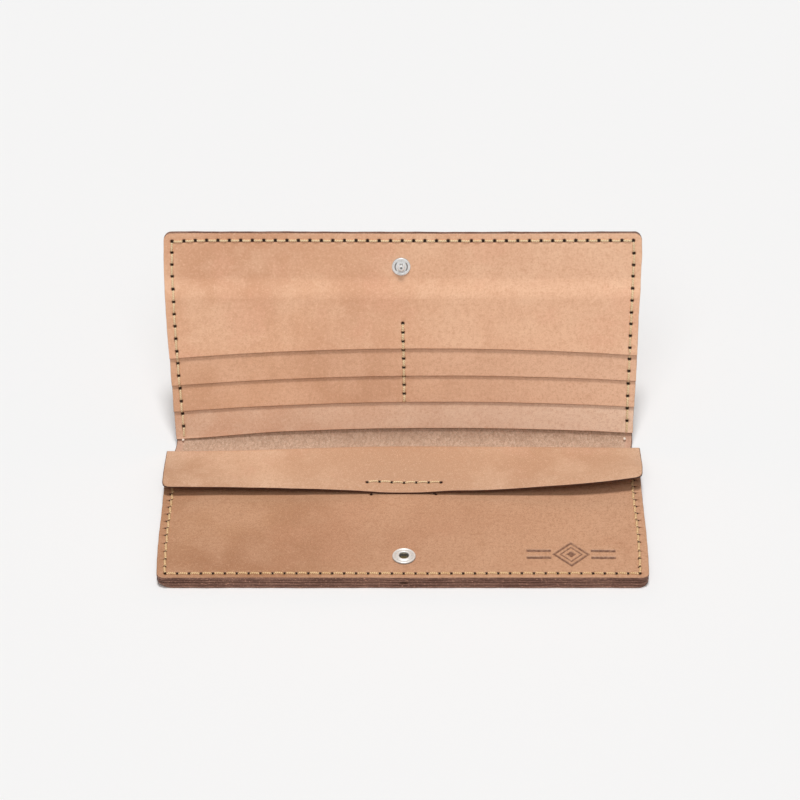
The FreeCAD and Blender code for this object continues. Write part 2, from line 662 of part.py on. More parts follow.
# ---------------------------------------------------------------- checks and export
doc.recompute()
NODES = ["outer_shell_lower", "pocket_back_panel", "welt_strip_left", "welt_strip_right",
         "welt_strip_front", "pocket_front_panel", "snap_socket", "snap_socket_spring",
         "snap_socket_cap", "thread_lower_perimeter", "flap_roll", "pocket_flap", "tuck_tongue",
         "thread_tongue", "outer_shell_spine", "outer_shell_upper", "card_backing_panel",
         "card_tier_3", "card_tier_2", "card_front_panel", "snap_stud", "snap_stud_eyelet",
         "thread_upper_perimeter", "thread_card_divider", "thread_tier_2_base",
         "thread_tier_3_base"]
for obj in doc.Objects:
    if "Invalid" in obj.State or "Error" in obj.State:
        raise RuntimeError("%s failed: %s" % (obj.Name, obj.State))
os.makedirs("parts", exist_ok=True)
for name in NODES:
    found = [o for o in doc.Objects if o.Label == name and hasattr(o, "Shape")]
    if len(found) != 1:
        raise RuntimeError("label %s is used %d times" % (name, len(found)))
    shape = found[0].Shape
    if shape.isNull() or not shape.isValid():
        raise RuntimeError("bad shape: " + name)
    shape.exportStep("parts/%s.step" % name)
    box = shape.BoundBox
    print("%-24s solids %3d  vol %9.1f  x %7.2f %7.2f  y %7.2f %7.2f  z %6.2f %6.2f" % (
        name, len(shape.Solids), shape.Volume, box.XMin, box.XMax, box.YMin, box.YMax,
        box.ZMin, box.ZMax))
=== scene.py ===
import bpy
import json
import math
import numpy as np
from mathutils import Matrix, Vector


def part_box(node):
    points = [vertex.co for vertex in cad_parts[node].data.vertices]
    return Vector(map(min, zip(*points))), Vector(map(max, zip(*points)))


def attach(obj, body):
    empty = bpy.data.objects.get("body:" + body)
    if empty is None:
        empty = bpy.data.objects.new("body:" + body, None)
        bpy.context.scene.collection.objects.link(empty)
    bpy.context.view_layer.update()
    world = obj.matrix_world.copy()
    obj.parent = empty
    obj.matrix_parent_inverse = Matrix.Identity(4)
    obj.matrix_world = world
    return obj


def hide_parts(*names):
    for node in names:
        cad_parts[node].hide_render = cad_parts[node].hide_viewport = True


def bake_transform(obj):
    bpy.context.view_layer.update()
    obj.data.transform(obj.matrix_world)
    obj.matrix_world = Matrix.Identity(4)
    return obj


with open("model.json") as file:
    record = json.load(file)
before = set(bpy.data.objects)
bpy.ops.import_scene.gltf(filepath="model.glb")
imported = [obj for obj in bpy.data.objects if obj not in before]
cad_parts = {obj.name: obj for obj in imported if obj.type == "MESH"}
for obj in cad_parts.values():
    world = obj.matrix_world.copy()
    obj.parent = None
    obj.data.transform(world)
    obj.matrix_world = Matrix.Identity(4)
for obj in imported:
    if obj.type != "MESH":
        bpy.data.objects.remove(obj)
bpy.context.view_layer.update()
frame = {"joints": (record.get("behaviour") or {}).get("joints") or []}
rng = np.random.default_rng(11)
MM = 0.001

# ------------------------------------------------------------------ sizes, all in millimetres
lo_shell, hi_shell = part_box("outer_shell_lower")
HALF = hi_shell[0] / MM                       # half width at the front edge
FRONT = lo_shell[1] / MM                      # front edge
BACK = hi_shell[1] / MM                       # where the lower shell ends and the spine starts
fold = [j for j in frame["joints"] if j["name"] == "cover_fold"][0]
AXIS_Z = fold["pos_m"][2] / MM
SPINE_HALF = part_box("outer_shell_spine")[1][0] / MM - 0.5
OPEN = math.radians(70.0)
RAD = AXIS_Z - 0.75                           # middle of the leather on the spine
ARC = RAD * OPEN
COVER = 91.5
TAPER0 = 22.0
PANEL_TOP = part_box("pocket_front_panel")[1][2] / MM
socket_lo, socket_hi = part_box("snap_socket")
SOCKET_Y = 0.5 * (socket_lo[1] + socket_hi[1]) / MM
ROLL_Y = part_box("flap_roll")[0][1] / MM
STUD_V = 76.9
SEAT = 3.5                                    # inner face of the cover at the stud


def smooth(t):
    t = np.clip(t, 0.0, 1.0)
    return t * t * (3 - 2 * t)


def lower_half(y):
    """Half width of the lower half: hand-cut sides, a little full in the middle."""
    full = np.interp(y, [-42, -36, -31, -25.5, -20, -9, -4, 4, 9], [0.2, 0.35, 0.45, 0.62, 0.56, 0.4, 0.3, 0.05, 0.0])
    return HALF + full - np.clip(y - TAPER0, 0, None) * (HALF - SPINE_HALF) / (BACK - TAPER0)


def cover_half(v):
    full = np.interp(v, [1, 3, 6, 9, 13, 18.5, 23.5, 34, 44, 54, 64, 70, 75, 80, 85, 90, 91.5],
                     [0.0, 0.08, 0.26, 0.34, 0.41, 0.40, 0.48, 0.62, 0.7, 0.82, 0.87, 0.92, 0.88, 0.8, 0.48, 0.14, 0.0])
    return SPINE_HALF + full + np.clip(v, 0, None) * (HALF - SPINE_HALF) / COVER


def lean(s):
    """Cut and folded by hand: the cover's middle line wanders over its height."""
    return np.interp(s - ARC, [-ARC, -6, -3, 1, 3, 6, 9, 13, 18, 23, 34, 44, 54, 64, 75, 80, 91.5],
                     [0.0, 0.6, 0.88, 0.87, 0.8, 0.64, 0.59, 0.53, 0.57, 0.52, 0.33, 0.05, -0.1, 0.0, -0.1, 0.07, 0.0])


def shell_half(s):
    """Half width of the one-piece shell: s is 0 where the spine starts."""
    return np.where(s < 0, lower_half(BACK + s), cover_half(s - ARC))


def place_shell(x, s, h):
    """Flat leather to space: x across, s along from the start of the spine, h above the outer face."""
    x, s, h = np.broadcast_arrays(x, s, h)
    x = x + lean(s)
    y = np.empty(x.shape)
    z = np.empty(x.shape)
    low = s < 0
    mid = (s >= 0) & (s <= ARC)
    top = s > ARC
    y[low] = BACK + s[low]
    z[low] = h[low]
    ang = -math.pi / 2 + s[mid] / RAD
    r = AXIS_Z - h[mid]
    y[mid] = BACK + r * np.cos(ang)
    z[mid] = AXIS_Z + r * np.sin(ang)
    v = s[top] - ARC
    d = h[top] - AXIS_Z + cover_bow(x[top], v)
    y[top] = BACK + v * math.cos(OPEN) - d * math.sin(OPEN)
    z[top] = AXIS_Z + v * math.sin(OPEN) + d * math.cos(OPEN)
    return np.stack([x, y, z], -1)


def cover_bow(x, v):
    """The cover isn't quite flat: a shallow dish and a slightly wavy free edge."""
    u = np.clip(v / COVER, 0, 1)
    return (-0.9 * np.sin(math.pi * u) * (1 - 0.35 * (x / HALF) ** 2)
            + 0.35 * u ** 2 * np.sin(x / 31.0 + 0.8))


def place_cover(x, v, h):
    return place_shell(x, np.asarray(v) + ARC, h)


def place_flat(x, y, h):
    x, y, h = np.broadcast_arrays(x, y, h)
    return np.stack([x, y, h], -1)


# ------------------------------------------------------------------ mesh building
def lines(start, end, step, spots=(), fine=(0.0, 0.3, 0.6, 0.95, 1.4)):
    """Grid lines from start to end, with extra ones round each needle hole."""
    base = list(np.linspace(start, end, max(2, int(round(abs(end - start) / step)) + 1)))
    extra = []
    for c in spots:
        for d in fine:
            extra += [c - d, c + d]
    spots_zone = np.array(sorted(spots)) if len(spots) else np.array([])
    keep = []
    for b in base:
        if len(spots_zone) and np.min(np.abs(spots_zone - b)) < 1.5 and start < b < end:
            continue
        keep.append(b)
    lo, hi = min(start, end), max(start, end)
    every = [e for e in keep + extra if lo <= e <= hi]
    every = sorted(every)
    out = [every[0]]
    for e in every[1:]:
        if e - out[-1] > 0.12:
            out.append(e)
    out[-1] = hi
    return np.array(out)


def mesh_object(name, verts, faces, attrs=None, mats=None, mat_index=None, smooth_shade=True):
    me = bpy.data.meshes.new(name)
    verts = np.asarray(verts, float).reshape(-1, 3) * MM
    faces = np.asarray(faces, dtype=np.int32)
    me.vertices.add(len(verts))
    me.vertices.foreach_set("co", verts.astype(np.float32).ravel())
    n = faces.shape[1]
    me.loops.add(faces.size)
    me.loops.foreach_set("vertex_index", faces.ravel())
    me.polygons.add(len(faces))
    me.polygons.foreach_set("loop_start", np.arange(0, faces.size, n, dtype=np.int32))
    me.polygons.foreach_set("loop_total", np.full(len(faces), n, dtype=np.int32))
    if mat_index is not None:
        me.polygons.foreach_set("material_index", np.asarray(mat_index, dtype=np.int32))
    me.polygons.foreach_set("use_smooth", np.full(len(faces), smooth_shade))
    me.update(calc_edges=True)
    me.validate()
    for key, value in (attrs or {}).items():
        value = np.asarray(value, np.float32)
        if value.ndim == 2:
            a = me.attributes.new(key, "FLOAT_VECTOR", "POINT")
            a.data.foreach_set("vector", value.ravel())
        else:
            a = me.attributes.new(key, "FLOAT", "POINT")
            a.data.foreach_set("value", value)
    for m in mats or []:
        me.materials.append(m)
    ob = bpy.data.objects.new(name, me)
    bpy.context.scene.collection.objects.link(ob)
    return ob


def leather(name, sx, ys, half, corners, top, bottom, place, mats, edge=0.3, power=0.62,
            arc=None, windows=(), holes=(), hole_size=0.62, hole_depth=0.7, wobble=0.05,
            rim_steps=8, dent_tint_and_gap_shade=None, soft=(True, False), sides=0.12):
    """A panel of leather with a worked edge.
    sx: grid lines across, as a fraction of half(y); ys: grid lines along; corners: radii at
    (low y left, low y right, high y right, high y left); top and bottom give the height of each
    face; arc(x, y) shifts y, for an edge that is cut curved; holes are needle holes (x, y)."""
    y0, y1 = ys[0], ys[-1]
    # close lines beside the outline keep the darkened edge narrow
    near = 0.32 / float(np.mean(half(np.asarray(ys, float))))
    sx = np.concatenate([[sx[0], sx[0] + near], [q for q in sx[1:-1] if sx[0] + 1.6 * near < q < sx[-1] - 1.6 * near],
                         [sx[-1] - near, sx[-1]]])
    ys = np.concatenate([[y0, y0 + 0.32], [q for q in ys[1:-1] if y0 + 0.5 < q < y1 - 0.5], [y1 - 0.32, y1]])
    SX, Y = np.meshgrid(sx, ys, indexing="xy")             # rows along y
    # the flat faces stop short of the outline by the edge's depth
    Yi = y0 + edge + (Y - y0) * (y1 - y0 - 2 * edge) / (y1 - y0)
    Hf = half(Yi)
    X = SX * (Hf - edge)
    rows, cols = X.shape
    for which, r in enumerate(corners):
        if r <= edge:
            continue
        r = r - edge
        left = which in (0, 3)
        lowc = which in (0, 1)
        cy = (y0 + edge + r) if lowc else (y1 - edge - r)
        cx_sign = -1 if left else 1
        a = (np.abs(X) - (Hf - edge - r)) / r
        b = ((cy - Yi) if lowc else (Yi - cy)) / r
        inside = (a > 0) & (b > 0) & (np.sign(X) == cx_sign)
        m = np.maximum(a, b)
        l = np.hypot(a, b)
        k = np.where(inside, m / np.where(l > 0, l, 1), 1.0)
        Xn = cx_sign * ((Hf - edge - r) + a * k * r)
        Yn = cy + (-1 if lowc else 1) * b * k * r
        X = np.where(inside, Xn, X)
        Yi = np.where(inside, Yn, Yi)
    if arc is not None:
        Yi = Yi + arc(X, Yi)
    zt, zb = top(X, Yi), bottom(X, Yi)
    # hole: mask of each needle hole, which the materials darken partly as punched fibre and partly as painted shade
    hole = np.zeros_like(X)
    dent = np.zeros_like(X)
    for spot in holes:
        hx, hy = spot[:2]
        ra, rb, turn = spot[2:] if len(spot) > 2 else (hole_size * 1.16, hole_size * 1.12, -0.9)
        near = (np.abs(X - hx) < 2.6) & (np.abs(Yi - hy) < 2.6)
        if not near.any():
            continue
        ex, ey = X[near] - hx, Yi[near] - hy
        d = np.hypot((ex * math.cos(turn) + ey * math.sin(turn)) / ra,
                     (-ex * math.sin(turn) + ey * math.cos(turn)) / rb)
        hole[near] = np.maximum(hole[near], np.clip(1.55 - d, 0, 1))
        dent[near] = np.maximum(dent[near], np.exp(-d ** 2 * 1.1) * hole_depth
                                + 0.10 * np.exp(-((ex ** 2 + ey ** 2) / 1.7)))
    zt = zt - np.minimum(dent, (zt - zb) * 0.45)
    mark = np.zeros_like(X)
    # the dent mask lowers the face and the materials darken it: pressed tint for the ornament, painted shade for the
    # gap where layers part
    if dent_tint_and_gap_shade is not None:
        mark = dent_tint_and_gap_shade(X, Yi)
        zt = zt - 0.28 * mark
    idx = np.arange(rows * cols).reshape(rows, cols)
    # outline loop, counter-clockwise seen from above
    loop = np.concatenate([idx[0, :-1], idx[:-1, -1], idx[-1, :0:-1], idx[:0:-1, 0]])
    bx, by = X.ravel()[loop], Yi.ravel()[loop]
    tx = np.roll(bx, -1) - np.roll(bx, 1)
    ty = np.roll(by, -1) - np.roll(by, 1)
    ln = np.hypot(tx, ty)
    ln[ln == 0] = 1
    nx, ny = ty / ln, -tx / ln
    fx = np.concatenate([X.ravel(), X.ravel()])
    fy = np.concatenate([Yi.ravel(), Yi.ravel()])
    fz = np.concatenate([zt.ravel(), zb.ravel()])
    n = rows * cols
    edge_a = np.zeros(2 * n)
    rim_a = np.zeros(2 * n)
    rim_a[:n], rim_a[n:] = 1.0, -1.0
    ring_ids = [loop]
    bt, bb = zt.ravel()[loop], zb.ravel()[loop]
    mid, th = 0.5 * (bt + bb), 0.5 * (bt - bb)
    around = np.cumsum(np.hypot(bx - np.roll(bx, 1), by - np.roll(by, 1)))
    wob = wobble * (np.sin(around / 3.1 + 1.3) + np.sin(around / 7.7) + 0.6 * np.sin(around / 1.27))
    start = 2 * n
    for k in range(1, rim_steps):
        a = math.pi * k / rim_steps
        off = edge * abs(math.sin(a)) ** power
        up = math.copysign(abs(math.cos(a)) ** power, math.cos(a))
        fx = np.concatenate([fx, bx + nx * (off + wob * abs(math.sin(a)))])
        fy = np.concatenate([fy, by + ny * (off + wob * abs(math.sin(a)))])
        fz = np.concatenate([fz, mid + th * up])
        edge_a = np.concatenate([edge_a, np.full(len(loop), (0.3, 0.75, 1.0)[min(k, rim_steps - k, 3) - 1])])
        rim_a = np.concatenate([rim_a, np.full(len(loop), up)])
        ring_ids.append(np.arange(start, start + len(loop)))
        start += len(loop)
    ring_ids.append(loop + n)
    edge_a[loop] = np.where(np.abs(nx) > 0.6, sides, 0.12)
    edge_a[loop + n] = 0.12
    # faces
    q = np.stack([idx[:-1, :-1], idx[:-1, 1:], idx[1:, 1:], idx[1:, :-1]], -1)
    keep = np.ones(q.shape[:2], bool)
    walls = []
    for wx0, wx1, wy0, wy1 in windows:
        cx = 0.25 * (X[:-1, :-1] + X[:-1, 1:] + X[1:, 1:] + X[1:, :-1])
        cy = 0.25 * (Yi[:-1, :-1] + Yi[:-1, 1:] + Yi[1:, 1:] + Yi[1:, :-1])
        cut = (cx > wx0) & (cx < wx1) & (cy > wy0) & (cy < wy1)
        keep &= ~cut
        ii, jj = np.where(cut)
        cutset = set(zip(ii.tolist(), jj.tolist()))
        for i, j in cutset:
            a, b, c, d = q[i, j]
            for (di, dj, p0, p1) in ((-1, 0, a, b), (0, 1, b, c), (1, 0, c, d), (0, -1, d, a)):
                if (i + di, j + dj) not in cutset:
                    walls.append((p0, p1, p1 + n, p0 + n))
                    edge_a[[p0, p1, p0 + n, p1 + n]] = 0.8
    qt = q[keep].reshape(-1, 4)
    faces = [qt, (qt + n)[:, ::-1]]
    index = [np.zeros(len(qt)), np.full(len(qt), 1)]
    if walls:
        faces.append(np.array(walls))
        index.append(np.full(len(walls), 2))
    for k in range(len(ring_ids) - 1):
        r0, r1 = ring_ids[k], ring_ids[k + 1]
        rim = np.stack([r0, r1, np.roll(r1, -1), np.roll(r0, -1)], -1)
        faces.append(rim)
        index.append(np.full(len(rim), 0 if (k < 2 and soft[0]) else
                             (1 if (k >= len(ring_ids) - 3 and soft[1]) else 2)))
    faces = np.concatenate(faces)
    index = np.concatenate(index).astype(int)
    world = place(fx, fy, fz)
    pad = len(fx) - 2 * n
    attrs = {
        "flat": np.stack([fx, fy, fz * 1.0], -1),
        "edge": edge_a,
        "hole": np.concatenate([hole.ravel(), np.zeros(n), np.zeros(pad)]),
        "mark": np.concatenate([mark.ravel(), np.zeros(n), np.zeros(pad)]),
        "rim": rim_a,
        "margin": half(fy) - np.abs(fx),
    }
    use = [mats[0], mats[1] if len(mats) > 1 else mats[0], mats[2] if len(mats) > 2 else mats[0]]
    return mesh_object(name, world, faces, attrs, use, index)


def cap(ring):
    """Closes a ring that has an even number of points, with four-sided faces."""
    return np.array([[ring[0], ring[i + 2], ring[i + 1], ring[i]] for i in range(1, len(ring) - 2, 2)])


def tube(paths, radius, flat=0.7, sides=8):
    """Thread runs: each path is (points, normal) in space; returns vertices, faces, coordinates."""
    verts, faces, coords, sunk = [], [], [], []
    base = 0
    for pts, normal, phase, near in paths:
        pts = np.asarray(pts, float)
        nrm = np.asarray(normal, float)
        t = np.gradient(pts, axis=0)
        t /= np.linalg.norm(t, axis=1)[:, None]
        side = np.cross(t, nrm)
        side /= np.linalg.norm(side, axis=1)[:, None]
        up = np.cross(side, t)
        m = len(pts)
        run = np.concatenate([[0], np.cumsum(np.linalg.norm(np.diff(pts, axis=0), axis=1))])
        ends = np.clip(np.minimum(run, run[-1] - run) / 0.9 + 0.5, 0.5, 1.0)
        # sunk: how far each end has gone into its hole, which the thread's material paints as shade
        sunk.append(np.tile(np.clip(near - np.minimum(run, run[-1] - run) / 0.8, 0, 1), sides))
        for k in range(sides):
            a = 2 * math.pi * k / sides
            rr = radius * (1 + 0.10 * np.sin(a * 2 + run * 3.6 + phase)) * ends
            p = pts + side * (np.cos(a) * rr)[:, None] + up * (np.sin(a) * rr * flat)[:, None]
            verts.append(p)
            coords.append(np.stack([run + phase * 7.0, np.full(m, a), np.full(m, phase)], -1))
        grid = base + np.arange(sides * m).reshape(sides, m)
        nxt = np.roll(grid, -1, axis=0)
        faces.append(np.stack([grid[:, :-1], nxt[:, :-1], nxt[:, 1:], grid[:, 1:]], -1).reshape(-1, 4))
        faces.append(np.concatenate([cap(grid[:, 0]), cap(grid[::-1, -1])]))
        base += sides * m
    return np.concatenate(verts), np.concatenate(faces), np.concatenate(coords), np.concatenate(sunk)


def sewing(name, runs, mat, radius=0.5, beads=()):
    """runs: list of (holes, face(x, y) -> height, place, sign, slant, how far the ends are in shade)."""
    paths = []
    for holes, height, place, sign, slant, near in runs:
        for (ax, ay), (bx, by) in zip(holes[:-1], holes[1:]):
            dx, dy = bx - ax, by - ay
            ln = math.hypot(dx, dy)
            px, py = -dy / ln, dx / ln
            f = np.array([0.02, 0.055, 0.09, 0.13, 0.18, 0.25, 0.36, 0.5, 0.64, 0.75, 0.82, 0.87, 0.91, 0.945, 0.98])
            lift = np.array([-0.72, -0.62, -0.42, -0.2, -0.02, 0.1, 0.17, 0.19, 0.17, 0.1, -0.02, -0.2, -0.42, -0.62, -0.72])
            lift = np.where(lift < 0, lift * min(1.0, near / 1.4), lift)
            jit = rng.uniform(-0.06, 0.06)
            sl = slant * (0.5 - f) * 2 + jit
            x = ax + dx * f + px * sl
            y = ay + dy * f + py * sl
            z0 = height(x, y)
            p = place(x, y, z0 + sign * lift * (1 + rng.uniform(-0.1, 0.15)))
            q = place(x, y, z0 + sign * (lift + 1.0))
            nrm = q - p
            paths.append((p, nrm, rng.uniform(0, 6.28), near))
    v, f, c, k = tube(paths, radius)
    if len(beads):
        for at, nrm in beads:
            bv, bf = bead(at, nrm, 0.66)
            f = np.concatenate([f, bf + len(v)])
            v = np.concatenate([v, bv])
            c = np.concatenate([c, bv * 0.35])
            k = np.concatenate([k, np.full(len(bv), -1.0)])
    return mesh_object(name, v, f, {"flat": c, "sunk": k}, [mat])


def bead(at, nrm, r):
    """Melted end of a thread: a small uneven button."""
    nrm = np.asarray(nrm, float) / np.linalg.norm(nrm)
    a = np.cross(nrm, [1.0, 0.0, 0.0])
    a /= np.linalg.norm(a)
    b = np.cross(nrm, a)
    lat = np.linspace(-math.pi / 2 + 0.02, math.pi / 2 - 0.02, 9)
    lon = np.linspace(0, 2 * math.pi, 14, endpoint=False)
    pts = []
    for t in lat:
        for o in lon:
            w = r * (1 + 0.09 * math.sin(2 * o + 1.0) + 0.05 * math.sin(3 * o))
            pts.append(np.asarray(at) + (a * math.cos(o) + b * math.sin(o)) * math.cos(t) * w
                       + nrm * math.sin(t) * r * 0.72)
    g = np.arange(len(pts)).reshape(len(lat), len(lon))
    nx = np.roll(g, -1, axis=1)
    faces = np.stack([g[:-1], g[1:], nx[1:], nx[:-1]], -1).reshape(-1, 4)
    return np.array(pts), np.concatenate([faces, cap(g[0, ::-1]), cap(g[-1])])


def lathe(name, profile, origin, x_axis, z_axis, mats, index=None, seg=72, painted_shade_fn=None):
    """Turned metal: profile is (radius, height), fine enough to be smooth."""
    prof = np.array(profile, float)
    x_axis = np.array(x_axis, float)
    z_axis = np.array(z_axis, float)
    y_axis = np.cross(z_axis, x_axis)
    a = np.linspace(0, 2 * math.pi, seg, endpoint=False)
    P = (np.array(origin)[None, None] + prof[:, None, 0:1] * (np.cos(a)[None, :, None] * x_axis
         + np.sin(a)[None, :, None] * y_axis) + prof[:, None, 1:2] * z_axis)
    n = len(prof)
    idx = np.arange(n * seg).reshape(n, seg)
    nx = np.roll(idx, -1, axis=1)
    faces = np.stack([idx[:-1], nx[:-1], nx[1:], idx[1:]], -1).reshape(-1, 4)
    mi = np.repeat(np.array(index if index is not None else [0] * (n - 1)), seg)
    flat = np.stack([np.broadcast_to(prof[:, None, 0] * np.cos(a), (n, seg)),
                     np.broadcast_to(prof[:, None, 0] * np.sin(a), (n, seg)),
                     np.broadcast_to(prof[:, None, 1], (n, seg))], -1).reshape(-1, 3)
    # per-vertex painted shade and dark reflections, from the given function of radius and angle
    painted_shade_and_reflection = np.zeros((n, seg))
    if painted_shade_fn:
        painted_shade_and_reflection = np.clip(painted_shade_fn(*np.broadcast_arrays(prof[:, None, 0], a[None, :])), 0, 1)
    painted_shade_and_reflection = np.asarray(painted_shade_and_reflection).ravel()
    return mesh_object(name, P.reshape(-1, 3), faces, {"flat": flat, "painted_shade_and_reflection": painted_shade_and_reflection}, mats, mi)


def bend(points, n=6):
    """Rounds a section's corners with short Bezier arcs."""
    pts = [np.array(p, float) for p in points]
    out = [pts[0]]
    for a, b, c in zip(pts[:-2], pts[1:-1], pts[2:]):
        ra = min(0.4 * np.linalg.norm(b - a), 0.28)
        rc = min(0.4 * np.linalg.norm(c - b), 0.28)
        p = b + (a - b) / np.linalg.norm(a - b) * ra
        q = b + (c - b) / np.linalg.norm(c - b) * rc
        for t in np.linspace(0, 1, n):
            out.append((1 - t) ** 2 * p + 2 * t * (1 - t) * b + t ** 2 * q)
    out.append(pts[-1])
    return out


# ------------------------------------------------------------------ materials
def rgb(r, g, b):
    def lin(c):
        c /= 255.0
        return c / 12.92 if c <= 0.04045 else ((c + 0.055) / 1.055) ** 2.4
    return (lin(r), lin(g), lin(b), 1.0)


class Nodes:
    def __init__(self, name):
        self.mat = bpy.data.materials.new(name)
        self.mat.use_nodes = True
        self.t = self.mat.node_tree
        self.t.nodes.clear()
        self.out = self.t.nodes.new("ShaderNodeOutputMaterial")
        self.bsdf = self.t.nodes.new("ShaderNodeBsdfPrincipled")
        self.t.links.new(self.bsdf.outputs[0], self.out.inputs[0])

    def node(self, kind, **props):
        n = self.t.nodes.new(kind)
        for k, v in props.items():
            setattr(n, k, v)
        return n

    def link(self, a, b):
        self.t.links.new(a, b)

    def attr(self, name, vector=False):
        n = self.node("ShaderNodeAttribute", attribute_name=name)
        return n.outputs["Vector"] if vector else n.outputs["Fac"]

    def place(self, vec, offset, scale=(1, 1, 1), rot=(0, 0, 0)):
        n = self.node("ShaderNodeMapping")
        n.inputs["Location"].default_value = offset
        n.inputs["Scale"].default_value = scale
        n.inputs["Rotation"].default_value = rot
        self.link(vec, n.inputs["Vector"])
        return n.outputs["Vector"]

    def noise(self, vec, scale, detail=3.0, rough=0.55, distort=0.0):
        n = self.node("ShaderNodeTexNoise")
        n.inputs["Scale"].default_value = scale
        n.inputs["Detail"].default_value = detail
        n.inputs["Roughness"].default_value = rough
        n.inputs["Distortion"].default_value = distort
        self.link(vec, n.inputs["Vector"])
        return n.outputs["Fac"]

    def ramp(self, fac, a, b, lo=0.0, hi=1.0):
        n = self.node("ShaderNodeMapRange")
        n.inputs["From Min"].default_value = a
        n.inputs["From Max"].default_value = b
        n.inputs["To Min"].default_value = lo
        n.inputs["To Max"].default_value = hi
        n.interpolation_type = "SMOOTHSTEP"
        self.link(fac, n.inputs["Value"])
        return n.outputs["Result"]

    def mix(self, fac, a, b, blend="MIX"):
        n = self.node("ShaderNodeMix", data_type="RGBA", blend_type=blend)
        if isinstance(fac, (int, float)):
            n.inputs["Factor"].default_value = fac
        else:
            self.link(fac, n.inputs["Factor"])
        for sock, val in ((n.inputs[6], a), (n.inputs[7], b)):
            if isinstance(val, tuple):
                sock.default_value = val
            else:
                self.link(val, sock)
        return n.outputs[2]

    def math(self, op, a, b=0.0, clamp=False):
        n = self.node("ShaderNodeMath", operation=op, use_clamp=clamp)
        for i, v in enumerate((a, b)):
            if isinstance(v, (int, float)):
                n.inputs[i].default_value = v
            else:
                self.link(v, n.inputs[i])
        return n.outputs[0]

    def bump(self, height, strength, distance):
        n = self.node("ShaderNodeBump")
        n.inputs["Strength"].default_value = strength
        n.inputs["Distance"].default_value = distance
        self.link(height, n.inputs["Height"])
        self.link(n.outputs["Normal"], self.bsdf.inputs["Normal"])


